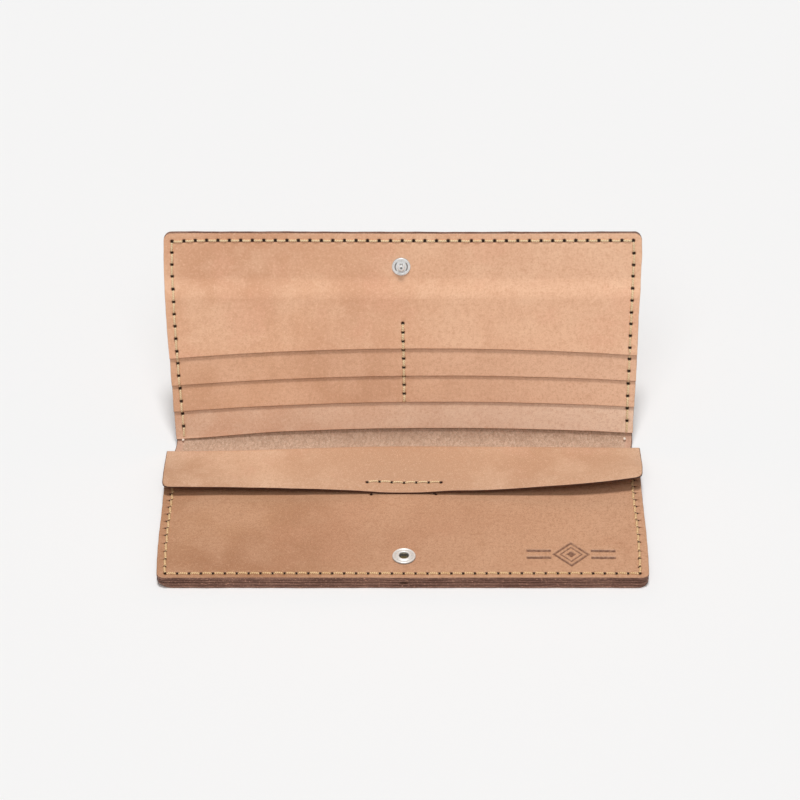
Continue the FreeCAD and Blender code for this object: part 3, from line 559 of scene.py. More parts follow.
def leather_mat(name, main, deep, pale, rim, rough=0.56, seed=0.0, mottle=1.0, grain=1.0,
                right=None, blush=None, middle=0.0, tooth=1.0):
    """Smooth side of vegetable-tanned leather: broad tone, fine mottle and pores, pressed marks, with painted shade in
    the needle holes and in the gap where two layers part.
    """
    m = Nodes(name)
    flat = m.attr("flat", True)
    v = m.place(flat, (seed, seed * 1.7, seed * 0.3))
    cloud = m.noise(v, 0.016, 2.0, 0.45)
    blotch = m.noise(v, 0.06, 3.0, 0.5)
    patch = m.noise(v, 0.21, 3.0, 0.55)
    mott = m.noise(v, 0.72, 3.0, 0.62)
    across = m.noise(m.place(flat, (seed, 3.0, 0), (1.0, 0.22, 1.0), (0, 0, 0.12)), 0.85, 3.0, 0.6)
    along = m.noise(m.place(flat, (seed, 9.0, 0), (0.2, 1.0, 1.0), (0, 0, -0.06)), 0.8, 3.0, 0.6)
    pore = m.noise(v, 1.7, 3.0, 0.62)
    fine = m.noise(v, 3.1, 3.0, 0.65)
    side = m.node("ShaderNodeSeparateXYZ")
    m.link(flat, side.inputs[0])
    col = m.mix(m.ramp(cloud, 0.36, 0.64), deep, main)
    if right is not None:
        col = m.mix(m.ramp(side.outputs[0], -60.0, 100.0, 0.0, 0.8), col, right)
    col = m.mix(m.ramp(blotch, 0.42, 0.66, 0.0, 0.42 * mottle), col, pale)
    if blush is not None:
        col = m.mix(m.ramp(m.noise(m.place(flat, (seed + 40.0, 5.0, 0)), 0.045, 3.0, 0.55),
                           0.5, 0.68, 0.0, 0.5), col, blush)
    if middle:
        col = m.mix(m.ramp(m.math("ABSOLUTE", side.outputs[0]), 60.0, 5.0, 0.0, abs(middle)), col,
                    deep if middle > 0 else pale)
    col = m.mix(m.ramp(patch, 0.50, 0.74, 0.0, 0.24 * mottle), col, deep)
    col = m.mix(m.ramp(mott, 0.47, 0.70, 0.0, 0.42), col, deep)
    col = m.mix(m.ramp(mott, 0.47, 0.28, 0.0, 0.36), col, pale)
    col = m.mix(m.ramp(across, 0.5, 0.78, 0.0, 0.26), col, deep)
    col = m.mix(m.ramp(along, 0.5, 0.78, 0.0, 0.22), col, deep)
    col = m.mix(m.ramp(pore, 0.52, 0.72, 0.0, 0.58 * tooth), col, deep)
    col = m.mix(m.ramp(pore, 0.46, 0.28, 0.0, 0.48 * tooth), col, pale)
    col = m.mix(m.ramp(fine, 0.5, 0.7, 0.0, 0.48 * tooth), col, deep)
    col = m.mix(m.ramp(fine, 0.47, 0.3, 0.0, 0.42 * tooth), col, pale)
    # burnished rim with paler scuffs
    edge = m.attr("edge")
    scuff = m.noise(m.place(flat, (seed, 0, 0), (0.5, 0.5, 3.0)), 1.4, 4.0, 0.7, 0.4)
    pale_rim = tuple(min(1.0, c * 1.9) for c in rim[:3]) + (1.0,)
    rim_col = m.mix(m.ramp(scuff, 0.52, 0.72, 0.0, 0.7), rim, pale_rim)
    col = m.mix(m.ramp(edge, 0.2, 0.95), col, rim_col)
    # Pressed ornament darkens the face; where two layers part at the front, the same darkening is painted shade inside
    # the gap.
    mark = m.attr("mark")
    pressed_tint_and_gap_shade = m.math("MULTIPLY", mark, m.ramp(mott, 0.3, 0.6, 0.5, 0.8))
    col = m.mix(pressed_tint_and_gap_shade, col, rim)
    # Needle holes: a brown ring and a near-black core, partly the punched fibre's own dark colour and partly painted
    # shade inside the hole.
    hole = m.attr("hole")
    col = m.mix(m.ramp(hole, 0.02, 0.5, 0.0, 0.62), col, rgb(128, 76, 38))
    col = m.mix(m.ramp(hole, 0.34, 0.76), col, rgb(40, 14, 4))
    m.link(col, m.bsdf.inputs["Base Color"])
    wet = m.ramp(pore, 0.3, 0.75, rough - 0.07, rough + 0.12)
    m.link(m.math("MAXIMUM", wet, m.math("MULTIPLY", hole, 0.9)), m.bsdf.inputs["Roughness"])
    m.bsdf.inputs["Specular IOR Level"].default_value = 0.34
    h = m.math("ADD", m.math("MULTIPLY", pore, 0.6), m.math("MULTIPLY", fine, 0.25))
    h = m.math("ADD", h, m.math("MULTIPLY", along, 0.3))
    h = m.math("ADD", h, m.math("MULTIPLY", mott, 0.5))
    m.bump(h, 0.5 * grain, 0.00016)
    return m.mat


def edge_mat(name, rim, pale, seed=0.0, crease=0.75, speck=0.8):
    """Cut and burnished edge: dark creases between layers, streaks along it and pale fibre ends."""
    m = Nodes(name)
    flat = m.attr("flat", True)
    streak = m.noise(m.place(flat, (seed, 1, 0), (0.10, 0.10, 3.2)), 1.5, 4.0, 0.7, 0.2)
    fray = m.noise(m.place(flat, (seed, 4, 0), (0.8, 0.8, 1.7)), 1.25, 4.0, 0.75)
    broad = m.noise(m.place(flat, (seed, 9, 0), (1.0, 1.0, 4.0)), 0.05, 3.0, 0.6)
    grit = m.noise(m.place(flat, (seed, 12, 0)), 3.4, 3.0, 0.7)
    dark = tuple(c * 0.30 for c in rim[:3]) + (1.0,)
    col = m.mix(m.ramp(streak, 0.34, 0.66), rim, pale)
    col = m.mix(m.ramp(broad, 0.42, 0.64, 0.0, 0.6), col, rim)
    col = m.mix(m.ramp(fray, 0.55, 0.66, 0.0, speck), col, tuple(min(1, x * 2.4) for x in pale[:3]) + (1,))
    col = m.mix(m.ramp(grit, 0.55, 0.75, 0.0, 0.6), col, dark)
    far = m.math("ABSOLUTE", m.attr("rim"))
    far = m.math("ADD", far, m.math("MULTIPLY", m.math("SUBTRACT", streak, 0.5), 0.5))
    col = m.mix(m.ramp(far, 0.62, 1.0, 0.0, crease), col, dark)
    m.link(col, m.bsdf.inputs["Base Color"])
    m.link(m.ramp(fray, 0.3, 0.7, 0.5, 0.8), m.bsdf.inputs["Roughness"])
    m.bsdf.inputs["Specular IOR Level"].default_value = 0.3
    m.bump(m.math("ADD", streak, m.math("MULTIPLY", fray, 0.7)), 0.8, 0.00022)
    return m.mat


def suede_mat(name, main, deep, pale, seed=0.0, margin=None):
    """Flesh side: short fibres, matt, greyish, with a smoother dyed margin along the sides."""
    m = Nodes(name)
    flat = m.attr("flat", True)
    v = m.place(flat, (seed, 2, 1))
    nap = m.noise(m.place(flat, (seed, 0, 0), (1.0, 0.6, 1.0), (0, 0, 0.5)), 1.0, 4.0, 0.75, 0.6)
    dust = m.noise(v, 2.2, 3.0, 0.7)
    cloud = m.noise(v, 0.09, 3.0, 0.6)
    col = m.mix(m.ramp(nap, 0.38, 0.62), deep, main)
    col = m.mix(m.ramp(dust, 0.50, 0.66, 0.0, 0.55), col, pale)
    col = m.mix(m.ramp(cloud, 0.4, 0.65, 0.0, 0.35), col, deep)
    if margin is not None:
        col = m.mix(m.ramp(m.attr("margin"), 3.8, 2.2, 0.0, 0.6), col, margin)
    edge = m.attr("edge")
    col = m.mix(m.ramp(edge, 0.2, 0.9, 0.0, 0.7), col, deep)
    # Needle holes: near-black, partly the punched fibre's own colour and partly painted shade inside the hole.
    hole = m.attr("hole")
    col = m.mix(m.ramp(hole, 0.3, 0.72), col, rgb(36, 12, 6))
    m.link(col, m.bsdf.inputs["Base Color"])
    m.bsdf.inputs["Roughness"].default_value = 0.93
    m.bsdf.inputs["Specular IOR Level"].default_value = 0.15
    m.bsdf.inputs["Sheen Weight"].default_value = 0.25
    m.bsdf.inputs["Sheen Roughness"].default_value = 0.5
    m.bump(m.math("ADD", nap, m.math("MULTIPLY", dust, 0.5)), 0.9, 0.0003)
    return m.mat


def thread_mat(name, top, groove):
    """Waxed two-ply thread: slanting plies, paler on top, with painted shade darkening the grooves between plies and
    the ends where they go into the holes.
    """
    m = Nodes(name)
    flat = m.attr("flat", True)
    sep = m.node("ShaderNodeSeparateXYZ")
    m.link(flat, sep.inputs[0])
    turn = m.math("ADD", m.math("MULTIPLY", sep.outputs[0], 4.2), sep.outputs[1])
    ply = m.math("SINE", m.math("MULTIPLY", turn, 2.0))
    fuzz = m.noise(m.place(flat, (0, 0, 0), (2.0, 1.0, 1.0)), 3.0, 3.0, 0.7)
    tone = m.noise(flat, 0.14, 2.0, 0.5)
    # the groove colour is painted shade between the plies; below it also gives random darker tone
    col = m.mix(m.ramp(ply, -0.95, 0.3), groove, top)
    col = m.mix(m.ramp(fuzz, 0.5, 0.8, 0.0, 0.4), col, groove)
    col = m.mix(m.ramp(tone, 0.5, 0.7, 0.0, 0.35), col, groove)
    # near the ends: near-black painted shade inside the needle holes; beads (sunk below zero) take a pale colour
    sunk = m.attr("sunk")
    col = m.mix(m.ramp(sunk, 0.1, 0.75, 0.0, 0.96), col, rgb(30, 13, 6))
    col = m.mix(m.ramp(sunk, -0.1, -0.6), col, rgb(240, 222, 206))
    m.link(col, m.bsdf.inputs["Base Color"])
    m.bsdf.inputs["Roughness"].default_value = 0.55
    m.bsdf.inputs["Specular IOR Level"].default_value = 0.3
    m.bump(m.math("ADD", ply, fuzz), 0.6, 0.00012)
    return m.mat


def metal_mat(name, color, rough, wear=0.1, seed=0.0, metallic=1.0):
    m = Nodes(name)
    flat = m.attr("flat", True)
    a = m.noise(m.place(flat, (seed, 0, 0)), 1.3, 3.0, 0.6)
    b = m.noise(m.place(flat, (seed, 5, 0), (1, 1, 1)), 9.0, 2.0, 0.6)
    dark = tuple(c * 0.72 for c in color[:3]) + (1.0,)
    col = m.mix(m.ramp(a, 0.45, 0.75, 0.0, 0.6), color, dark)
    # darkens the metal towards near black: painted shade and painted dark reflections
    col = m.mix(m.attr("painted_shade_and_reflection"), col, (0.05, 0.045, 0.04, 1.0))
    m.link(col, m.bsdf.inputs["Base Color"])
    m.bsdf.inputs["Metallic"].default_value = metallic
    m.link(m.ramp(b, 0.3, 0.7, rough, rough + wear), m.bsdf.inputs["Roughness"])
    m.bump(m.math("ADD", a, m.math("MULTIPLY", b, 0.2)), 0.12, 0.00008)
    return m.mat


RIM = rgb(84, 52, 42)
FACE = leather_mat("card_leather_face", rgb(239, 187, 150), rgb(219, 163, 127), rgb(255, 211, 176),
                   RIM, seed=3.0, right=rgb(252, 205, 170), blush=rgb(239, 180, 147))
FACE_LOW = leather_mat("card_leather_tiers", rgb(230, 179, 143), rgb(207, 154, 119), rgb(245, 198, 165),
                       RIM, seed=7.0, right=rgb(246, 201, 169))
PANEL = leather_mat("panel_leather_face", rgb(194, 147, 112), rgb(170, 121, 88), rgb(210, 164, 132),
                    RIM, seed=17.0, tooth=1.45, blush=rgb(194, 141, 109), right=rgb(214, 166, 133),
                    middle=-0.35)
FLAP = leather_mat("flap_leather_face", rgb(218, 177, 145), rgb(193, 148, 116), rgb(230, 193, 163),
                   RIM, seed=29.0, tooth=1.45, blush=rgb(212, 163, 135), middle=1.0)
LINING = leather_mat("card_backing_face", rgb(232, 185, 153), rgb(213, 162, 130), rgb(247, 211, 182),
                     RIM, seed=41.0, right=rgb(254, 221, 195))
OUTER = leather_mat("outer_shell_face", rgb(206, 156, 120), rgb(184, 130, 95), rgb(220, 174, 140),
                    RIM, seed=53.0, blush=rgb(198, 138, 108))
BACKSIDE = suede_mat("flesh_side", rgb(209, 175, 150), rgb(180, 146, 122), rgb(234, 206, 183), 5.0,
                     margin=rgb(206, 160, 136))
# Flesh side of the flap and tongue: darker than the other flesh side, as painted shade for the gap under the flap.
UNDER = suede_mat("flap_flesh_side", rgb(160, 126, 104), rgb(128, 96, 78), rgb(190, 160, 138), 9.0)
EDGE = edge_mat("burnished_edge", rgb(97, 61, 48), rgb(168, 124, 104), 2.0)
EDGE_LIGHT = edge_mat("slot_edge", rgb(112, 74, 56), rgb(146, 104, 80), 8.0, 0.5, 0.3)
# Flap's front edge: a burnished brown edge, painted darker than the other edges so that it adds painted shade to the
# dark band under the flap.
EDGE_FLAP = edge_mat("flap_edge", rgb(66, 38, 30), rgb(104, 70, 54), 14.0, 0.6, 0.95)
THREAD = thread_mat("waxed_thread", rgb(252, 228, 188), rgb(220, 180, 132))
THREAD_LOW = thread_mat("waxed_thread_lower", rgb(248, 212, 164), rgb(196, 148, 98))
NICKEL = metal_mat("nickel_plate", (0.93, 0.93, 0.92, 1.0), 0.3, 0.14, 1.0, 0.3)
NICKEL_WORN = metal_mat("nickel_plate_worn", (0.90, 0.86, 0.81, 1.0), 0.4, 0.16, 3.0, 0.35)
# Spring wire: darkened as painted shade, since it sits inside the socket's shaded hole.
STEEL = metal_mat("spring_wire", (0.26, 0.23, 0.17, 1.0), 0.4, 0.1, 4.0, 0.6)

# ------------------------------------------------------------------ needle holes
ROW_X = np.linspace(-100.0, 100.0, 41)
# the awl wandered a little from the even 5 mm spacing
ROW_B = ROW_X + np.interp(ROW_X, [-100, 0, 25, 40, 55, 75, 90, 100], [0.5, 0.42, 0.3, 0.0, -0.05, -0.2, -0.5, -0.62])
ROW_C = ROW_X + np.interp(ROW_X, [-100, -95, -85, -70, -50, -30, 0, 10, 40, 75, 100],
                          [0.42, 0.65, 0.38, 0.13, 0.04, -0.13, -0.22, -0.44, -0.35, -0.32, -0.48])
COL_P = 5.53
row_v = COVER - 3.3
col_v = row_v - COL_P * np.arange(0, 17) * (1 - 0.002)
base_row_y = FRONT + 3.0
col_y = base_row_y + 4.74 * np.arange(0, 17)
div_v = np.linspace(51.3, 14.7, 10)


def side_x(half, y):
    return float(half(np.array([float(y)]))[0]) - 3.0


cover_row = [(x, row_v - 0.4 * smooth((-x - 86.0) / 14.0)) for x in ROW_C]
side_v = {-1: [row_v - 0.4, 82.81, 77.42, 72.12, 66.53, 61.02, 55.48, 50.09, 44.44, 38.63, 32.92, 27.22, 21.28, 15.3,
               9.4, 3.6, -2.1],
          1: [row_v, 82.55, 77.25, 72.2, 66.86, 61.7, 56.27, 51.1, 45.74, 40.26, 34.88, 29.37, 23.44, 17.71, 11.98,
              6.05, 0.3]}
side_in = {-1: ([1, 3, 6, 9, 13, 18.5, 23.5, 28, 33, 40, 50, 62, 83],
                [0.1, 0.26, 0.53, 0.57, 0.58, 0.38, 0.23, 0.2, 0.3, 0.45, 0.55, 0.62, 0.58]),
           1: ([6, 12, 18, 25, 40, 52, 60, 83], [-0.33, -0.1, 0.1, 0.2, 0.24, 0.26, 0.42, 0.5])}
cover_cols = {s: [(s * (side_x(cover_half, v) - np.interp(v, *side_in[s])) if i else cover_row[0 if s < 0 else -1][0], v)
                  for i, v in enumerate(side_v[s])] for s in (-1, 1)}
base_row = [(x, base_row_y) for x in ROW_B]
base_cols = {s: [(s * side_x(lower_half, y), y) for y in col_y] for s in (-1, 1)}


def inset(y):
    """The side seams of the lower half drift inwards a little towards the fold."""
    return 0.3 + 0.55 * np.clip((y - base_row_y) / 52.0, 0, 1)


stray = {-1: np.array([0, -0.45, -0.45, -0.1, 0.6, 1.12, 1.0, 0.88, 0.9, 0.8, 0.55, 0.15, 0, 0, 0, 0, 0]),
         1: np.array([0, -0.6, 0.1, 0.07, 1.3, 1.45, 1.55, 1.45, 1.4, 1.3, 0.95, 0.81, 0.4, 0, 0, 0, 0])}
side_y = {s: col_y + stray[s] for s in (-1, 1)}
veer = {s: (0.0 if s < 0 else 0.36) * np.clip(1 - (side_y[s] - base_row_y) / 50.0, 0, 1) for s in (-1, 1)}
base_in = {s: [(s * (side_x(lower_half, y) - inset(y) - d), y) for y, d in zip(side_y[s], veer[s])] for s in (-1, 1)}
base_cuts = [(s * (side_x(lower_half, y) - inset(y) - d * 1.6 - 0.12 + 0.8 * np.clip((y - base_row_y) / 30.0, 0, 1)), y - 0.15,
              0.68, 0.5, 0.3 * s) for s in (-1, 1) for y, d in list(zip(side_y[s], veer[s]))[1:16]]
divider = [(0.12, v) for v in div_v]
tongue_row = [(x + 0.6, y) for x, y in zip(np.linspace(-15.9, 15.9, 7),
                                           (15.85, 16.7, 16.5, 16.25, 16.35, 16.05, 15.6))]


def drop(x, y):
    """How much lower the card edges are cut towards the sides."""
    u = x / 100.0
    return -(3.3 * u ** 2 - 1.1 * u)


def curved(start, depth=11.0):
    def shift(x, y):
        d = drop(x, y)
        if start > 38:                        # the front card is cut a little out of square
            d = d - 0.35 * x / 100.0 - 0.4 * (x / 100.0) ** 2
        if start < 5:                         # the backing's left corner hangs lower
            d = d - 1.2 * smooth((-np.asarray(x) - 55.0) / 40.0)
        return d * smooth((start + depth - y) / depth)
    return shift


# ------------------------------------------------------------------ outer shell, one piece of leather
def shell_top(x, s):
    return 1.5 + 0.0 * x


def shell_bottom(x, s):
    """Outer face, with the groove that the sewing lies in."""
    v = s - ARC
    base_y = BACK + s
    on_base = (s < -12)
    d = np.full(x.shape, 9.0)
    d = np.where(on_base, np.minimum(np.abs(base_y - base_row_y), np.abs(np.abs(x) - (lower_half(base_y) - 3))), d)
    d = np.where((on_base) & ((base_y < base_row_y) | (np.abs(x) > lower_half(base_y) - 3)),
                 np.hypot(np.clip(base_row_y - base_y, 0, None), np.clip(np.abs(x) - (lower_half(base_y) - 3), 0, None)), d)
    on_cover = (v > 2)
    dc = np.minimum(np.abs(v - row_v), np.abs(np.abs(x) - (cover_half(v) - 3)))
    dc = np.where((v > row_v) | (np.abs(x) > cover_half(v) - 3),
                  np.hypot(np.clip(v - row_v, 0, None), np.clip(np.abs(x) - (cover_half(v) - 3), 0, None)), dc)
    d = np.where(on_cover, dc, d)
    return 0.45 * np.exp(-(d / 0.75) ** 4)


shell_len0 = FRONT - BACK
s_lines = lines(shell_len0, ARC + COVER, 2.2,
                list(col_v[:-1] + ARC) + list(col_y[:15] - BACK), fine=(0.0, 0.5, 1.0, 1.5))
s_lines = np.unique(np.concatenate([s_lines, np.linspace(-3, ARC + 3, 22)]))
s_lines = s_lines[np.concatenate([[True], np.diff(s_lines) > 0.1])]
x_lines = lines(-HALF, HALF, 2.4, ROW_X, fine=(0.0, 0.5, 1.0, 1.6)) / HALF
shell = leather("outer_shell", x_lines, s_lines, shell_half, (6.8, 5, 3, 3), shell_top, shell_bottom,
                place_shell, [BACKSIDE, OUTER, EDGE], edge=0.28, soft=(False, True))
a0 = place_shell(np.array([0.0]), np.array([-2.6]), np.array([0.75]))[0] * MM
a1 = place_shell(np.array([0.0]), np.array([ARC + 2.6]), np.array([0.75]))[0] * MM
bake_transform(shell)
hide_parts("outer_shell_lower", "outer_shell_spine", "outer_shell_upper")

# ------------------------------------------------------------------ lower stack
hx = lines(-HALF, HALF, 2.4, ROW_B, fine=(0.0, 0.28, 0.56, 0.9, 1.4)) / HALF


def base_swell(x, y):
    """A faint fullness between the sewn edges."""
    u = np.clip(1 - (x / HALF) ** 2, 0, 1)
    w = smooth((y - FRONT) / 22.0)
    return 0.22 * u * w + 0.05 * np.sin(x / 17.0 + y / 23.0)


def layer(z, swell=0.0):
    return lambda x, y: z + swell * base_swell(x, y)




def parting(x, y):
    """A short stretch at the front where two layers have come apart; on the lower layer the same mask paints shade into
    the gap.
    """
    return np.exp(-((x - 0.4) / 2.0) ** 4) * smooth((FRONT + 7.0 - y) / 3.0)


plain_y = lines(FRONT, 37.0, 3.0)
plain_x = np.unique(np.concatenate([lines(-HALF, HALF, 3.0), np.arange(-3.5, 4.6, 0.8)]))
plain_x = plain_x[np.concatenate([[True], np.diff(plain_x) > 0.14])] / HALF
# The parting mask also darkens the back panel's face in the gap at the front: painted shade.
back_panel = leather("pocket_back", plain_x, plain_y, lower_half, (3.8, 3.8, 0, 0), lambda x, y: 2.9 - 0.4 * parting(x, y), layer(1.52),
                     place_flat, [PANEL, PANEL, EDGE], edge=0.26, wobble=0.07, soft=(False, False),
                     dent_tint_and_gap_shade=parting)
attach(back_panel, "base"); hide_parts("pocket_back_panel")

welt = leather("welt_front", plain_x, lines(FRONT + 0.12, FRONT + 8.0, 1.6),
               lambda y: lower_half(y) - 0.1, (3, 3, 0, 0), layer(4.28), lambda x, y: 2.92 + 0.15 * parting(x, y), place_flat,
               [EDGE, EDGE, EDGE], edge=0.35, wobble=0.1, soft=(False, False))
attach(welt, "base"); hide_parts("welt_strip_front")
for s, side in ((-1, "left"), (1, "right")):
    def strip(x, y, h, s=s):
        c = lower_half(y) - 4.0 - 0.1
        return place_flat(s * c + x, y, h)
    w = leather("welt_" + side, lines(-4.0, 4.0, 1.0) / 4.0, lines(FRONT + 8.02, 30.0, 2.5),
                lambda y: 4.0 + 0 * y, (0, 0, 0, 0), layer(4.28), layer(2.92), strip,
                [PANEL, PANEL, EDGE], edge=0.3, wobble=0.08, soft=(False, False))
    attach(w, "base"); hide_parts("welt_strip_" + side)


def motif(x, y):
    """A plain pressed ornament: a double lozenge between two pairs of short bars."""
    cx, cy = 71.0, -30.0
    dx, dy = np.abs(x - cx), np.abs(y - cy)
    r = dx / 7.2 + dy / 7.2
    ring = np.exp(-((r - 1.0) / 0.11) ** 4)
    ring2 = np.exp(-((r - 0.62) / 0.07) ** 4)
    dot = (r < 0.28) * 1.0
    bars = np.zeros_like(x)
    for off in (2.2, -2.2):
        bars = np.maximum(bars, smooth((0.75 - np.abs(y - cy - off)) / 0.35 + 0.5)
                          * smooth((5.2 - np.abs(dx - 13.6)) / 0.4 + 0.5))
    return np.clip(np.maximum.reduce([ring, ring2, dot, bars]), 0, 1)


slit_y0, slit_y1 = 9.55, 10.45
slit_ends = [(-13.5, 9.6, 0.62, 0.5, 0.0), (14.3, 9.6, 0.5, 0.4, 0.0)]
py = lines(FRONT, 30.0, 2.4, list(side_y[-1][:15]) + list(side_y[1][:15]), fine=(0.0, 0.24, 0.48, 0.8, 1.3))
py = np.unique(np.concatenate([py, np.arange(-39.0, -21.0, 0.42), [8.7, 8.95, 9.2, 9.38, slit_y0, 9.85, 10.15, slit_y1],
                               [SOCKET_Y - 2.95, SOCKET_Y + 2.95]]))
py = py[np.concatenate([[True], np.diff(py) > 0.14])]
px = np.unique(np.concatenate([hx * HALF, np.arange(50.0, 92.0, 0.42), [-14.2, -13.9, -13.5, -13.1, -12.8],
                               [13.6, 13.95, 14.3, 14.65, 15.0], [-2.95, 2.95]]))
px = px[np.concatenate([[True], np.diff(px) > 0.14])] / HALF
panel = leather("pocket_front", px, py, lower_half, (3, 3, 0, 0), layer(PANEL_TOP, 1.0), layer(4.3, 0.0),
                place_flat, [PANEL, BACKSIDE, EDGE], edge=0.3, wobble=0.05,
                windows=[(-13.7, 14.1, slit_y0, slit_y1),
                         (-2.95, 2.95, SOCKET_Y - 2.95, SOCKET_Y + 2.95)],
                holes=base_row + base_cuts + slit_ends, dent_tint_and_gap_shade=motif)
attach(panel, "base"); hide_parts("pocket_front_panel")


def panel_height(x, y):
    return PANEL_TOP + base_swell(x, y)


# sewing of the lower half, seen on the pocket's face and under the shell
low_sew = sewing("sewing_lower", [
    ([(x, y - 0.28) for x, y in base_row], panel_height, place_flat, 1, 0.12, 1.5),
    (base_in[-1][:16], panel_height, place_flat, 1, -0.2, 1.3),
    (base_in[1][:16], panel_height, place_flat, 1, 0.2, 1.3),
    (base_row, lambda x, y: 0.46 + 0 * x, place_flat, -1, 0.2, 1.4),
    (base_cols[-1][:15], lambda x, y: 0.46 + 0 * x, place_flat, -1, 0.2, 1.4),
    (base_cols[1][:15], lambda x, y: 0.46 + 0 * x, place_flat, -1, 0.2, 1.4),
], THREAD_LOW, 0.56)
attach(low_sew, "base"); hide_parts("thread_lower_perimeter")

# ------------------------------------------------------------------ cover stack
RAMP0, RAMP1 = 62.0, 72.0


def front_top(x, v):
    return 5.3 - 1.8 * smooth((v - RAMP0) / (RAMP1 - RAMP0))


def face_of_cover(x, v):
    """Height of the stepped inner face, for the side sewing."""
    x, v = np.broadcast_arrays(np.asarray(x, float), np.asarray(v, float))
    out = np.full(x.shape, 1.5)
    for start, z in ((2.6, 2.5), (14.85, 3.4), (27.05, 4.3)):
        e = start + drop(x, v)
        out = np.where(v > e, z, out)
    e = 39.78 + drop(x, v)
    return np.where(v > e, front_top(x, v), out)


side_holes = cover_cols[-1][:-1] + cover_cols[1][:-1]


def v_grid(start, end, step=2.4):
    """Lines along the cover that still meet the side holes after the edge is cut curved."""
    spots = []
    for v, x in [(v, 98.0 * s) for s in (-1, 1) for v in side_v[s]]:
        if True:
            spots.append(v - float(curved(start)(np.array([x]), np.array([v - drop(x, 0) * 0]))[0]))
    spots = [q for q in spots if start < q < end]
    g = lines(start, end, step, spots, fine=(0.0, 0.3, 0.6, 1.0))
    return g


def cover_piece(name, start, end, top, bottom, mats, extra=(), **kw):
    g = v_grid(start, end)
    if len(extra):
        g = np.unique(np.concatenate([g, np.array(list(extra))]))
        g = g[np.concatenate([[True], np.diff(g) > 0.14])]
    gx = kw.pop("gx")
    ob = leather(name, gx, g, cover_half, kw.pop("corners", (0, 0, 0, 0)), top, bottom, place_cover,
                 mats, arc=curved(start), holes=kw.pop("holes", ()), **kw)
    return ob


def xs_with(spots, step=3.0):
    return np.clip(lines(-HALF, HALF, step, spots, fine=(0.0, 0.28, 0.56, 0.9, 1.4)) / HALF, -1, 1)


col_spots = [-99.9, 99.9]


def near_divider(start):
    return [v + d for v in div_v for d in (-0.85, -0.5, -0.25, 0, 0.25, 0.5, 0.85) if start + 0.5 < v + d < start + 16]


const = lambda z: (lambda x, v: z + 0.0 * x)

backing = cover_piece("card_backing", 2.6, COVER, const(2.48), const(1.53), [LINING, BACKSIDE, EDGE_LIGHT],
                      gx=xs_with(col_spots), holes=side_holes, corners=(0, 0, 3, 3), edge=0.22)
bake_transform(backing)
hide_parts("card_backing_panel")

tier3 = cover_piece("card_tier_low", 14.85, 58.2, const(3.38), const(2.52), [FACE_LOW, BACKSIDE, EDGE_LIGHT],
                    gx=xs_with(col_spots + [0.0]), holes=side_holes + divider, edge=0.2, extra=near_divider(14.85))
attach(tier3, "cover"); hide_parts("card_tier_3")

tier2 = cover_piece("card_tier_middle", 27.05, 66.4, const(4.28), const(3.42), [FACE_LOW, BACKSIDE, EDGE_LIGHT],
                    gx=xs_with(col_spots + [0.0]), holes=side_holes + divider, edge=0.2, extra=near_divider(27.05))
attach(tier2, "cover"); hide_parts("card_tier_2")

front = cover_piece("card_front", 39.78, COVER, front_top,
                    lambda x, v: front_top(x, v) - 0.98, [FACE, BACKSIDE, EDGE],
                    gx=xs_with(list(ROW_C)), holes=cover_row + side_holes + divider,
                    corners=(0, 0, 3, 3), edge=0.22,
                    extra=np.concatenate([[row_v + 0.19 + d for d in (-1.6, -1.15, -0.82, -0.5, -0.25, 0, 0.25, 0.5, 0.82, 1.15, 1.6)],
                                          [v + d for v in div_v for d in (-1.2, -0.85, -0.5, -0.25, 0, 0.25, 0.5, 0.85, 1.2) if v + d > 40.4]]))
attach(front, "cover"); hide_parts("card_front_panel")

cover_sew = sewing("sewing_cover", [
    (cover_row, face_of_cover, place_cover, 1, 0.04, 1.72),
    (cover_cols[-1], face_of_cover, place_cover, 1, 0.05, 1.5),
    (cover_cols[1], face_of_cover, place_cover, 1, 0.05, 1.5),
    (cover_row, lambda x, v: 0.45 + 0 * x, place_cover, -1, 0.3, 1.4),
    (cover_cols[-1][:-1], lambda x, v: 0.45 + 0 * x, place_cover, -1, 0.25, 1.4),
    (cover_cols[1][:-1], lambda x, v: 0.45 + 0 * x, place_cover, -1, 0.25, 1.4),
], THREAD, 0.5, beads=[(place_cover(np.array([x]), np.array([v]), np.array([2.1]))[0],
                         place_cover(np.array([x]), np.array([v]), np.array([3.1]))[0]
                         - place_cover(np.array([x]), np.array([v]), np.array([2.1]))[0])
                        for x, v in ((-97.3, -3.2), (96.6, -2.75))])
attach(cover_sew, "cover"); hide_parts("thread_upper_perimeter")

div_sew = sewing("sewing_divider", [(divider, face_of_cover, place_cover, 1, 0.05, 1.6)], THREAD, 0.6)
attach(div_sew, "cover"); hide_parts("thread_card_divider")
for node, v in (("thread_tier_3_base", 59.2), ("thread_tier_2_base", 67.4)):
    seam = sewing("sewing_" + node[7:13], [([(x, v) for x in np.linspace(-95, 95, 39)],
                  lambda x, y: 2.62 + 0 * x, place_cover, 1, 0.1, 1.4)], THREAD, 0.36)
    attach(seam, "cover"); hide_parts(node)

# ------------------------------------------------------------------ flap, roll and tongue
FX = np.array([-104.0, -97.4, -80.6, -65.6, -57.0, -48.4, -37.3, -26.9, -20.5, -12.3, -7.6, 0.0, 7.4, 11.7,
               18.2, 22.5, 31.5, 41.8, 53.8, 63.3, 75.7, 84.7, 91.2, 100.6, 104.0])
FT = np.array([10.05, 10.03, 9.89, 9.64, 9.55, 9.26, 8.93, 8.48, 8.18, 7.5, 7.2, 7.08, 7.2, 7.5,
               8.06, 8.26, 8.34, 8.79, 9.73, 10.35, 11.3, 11.95, 12.6, 13.6, 13.9])
FY = np.interp(FX, [-104, -60, -10, 0, 10, 50, 76, 90, 104], [9.9, 9.8, 9.5, 9.4, 9.4, 9.6, 10.3, 11.2, 12.2])
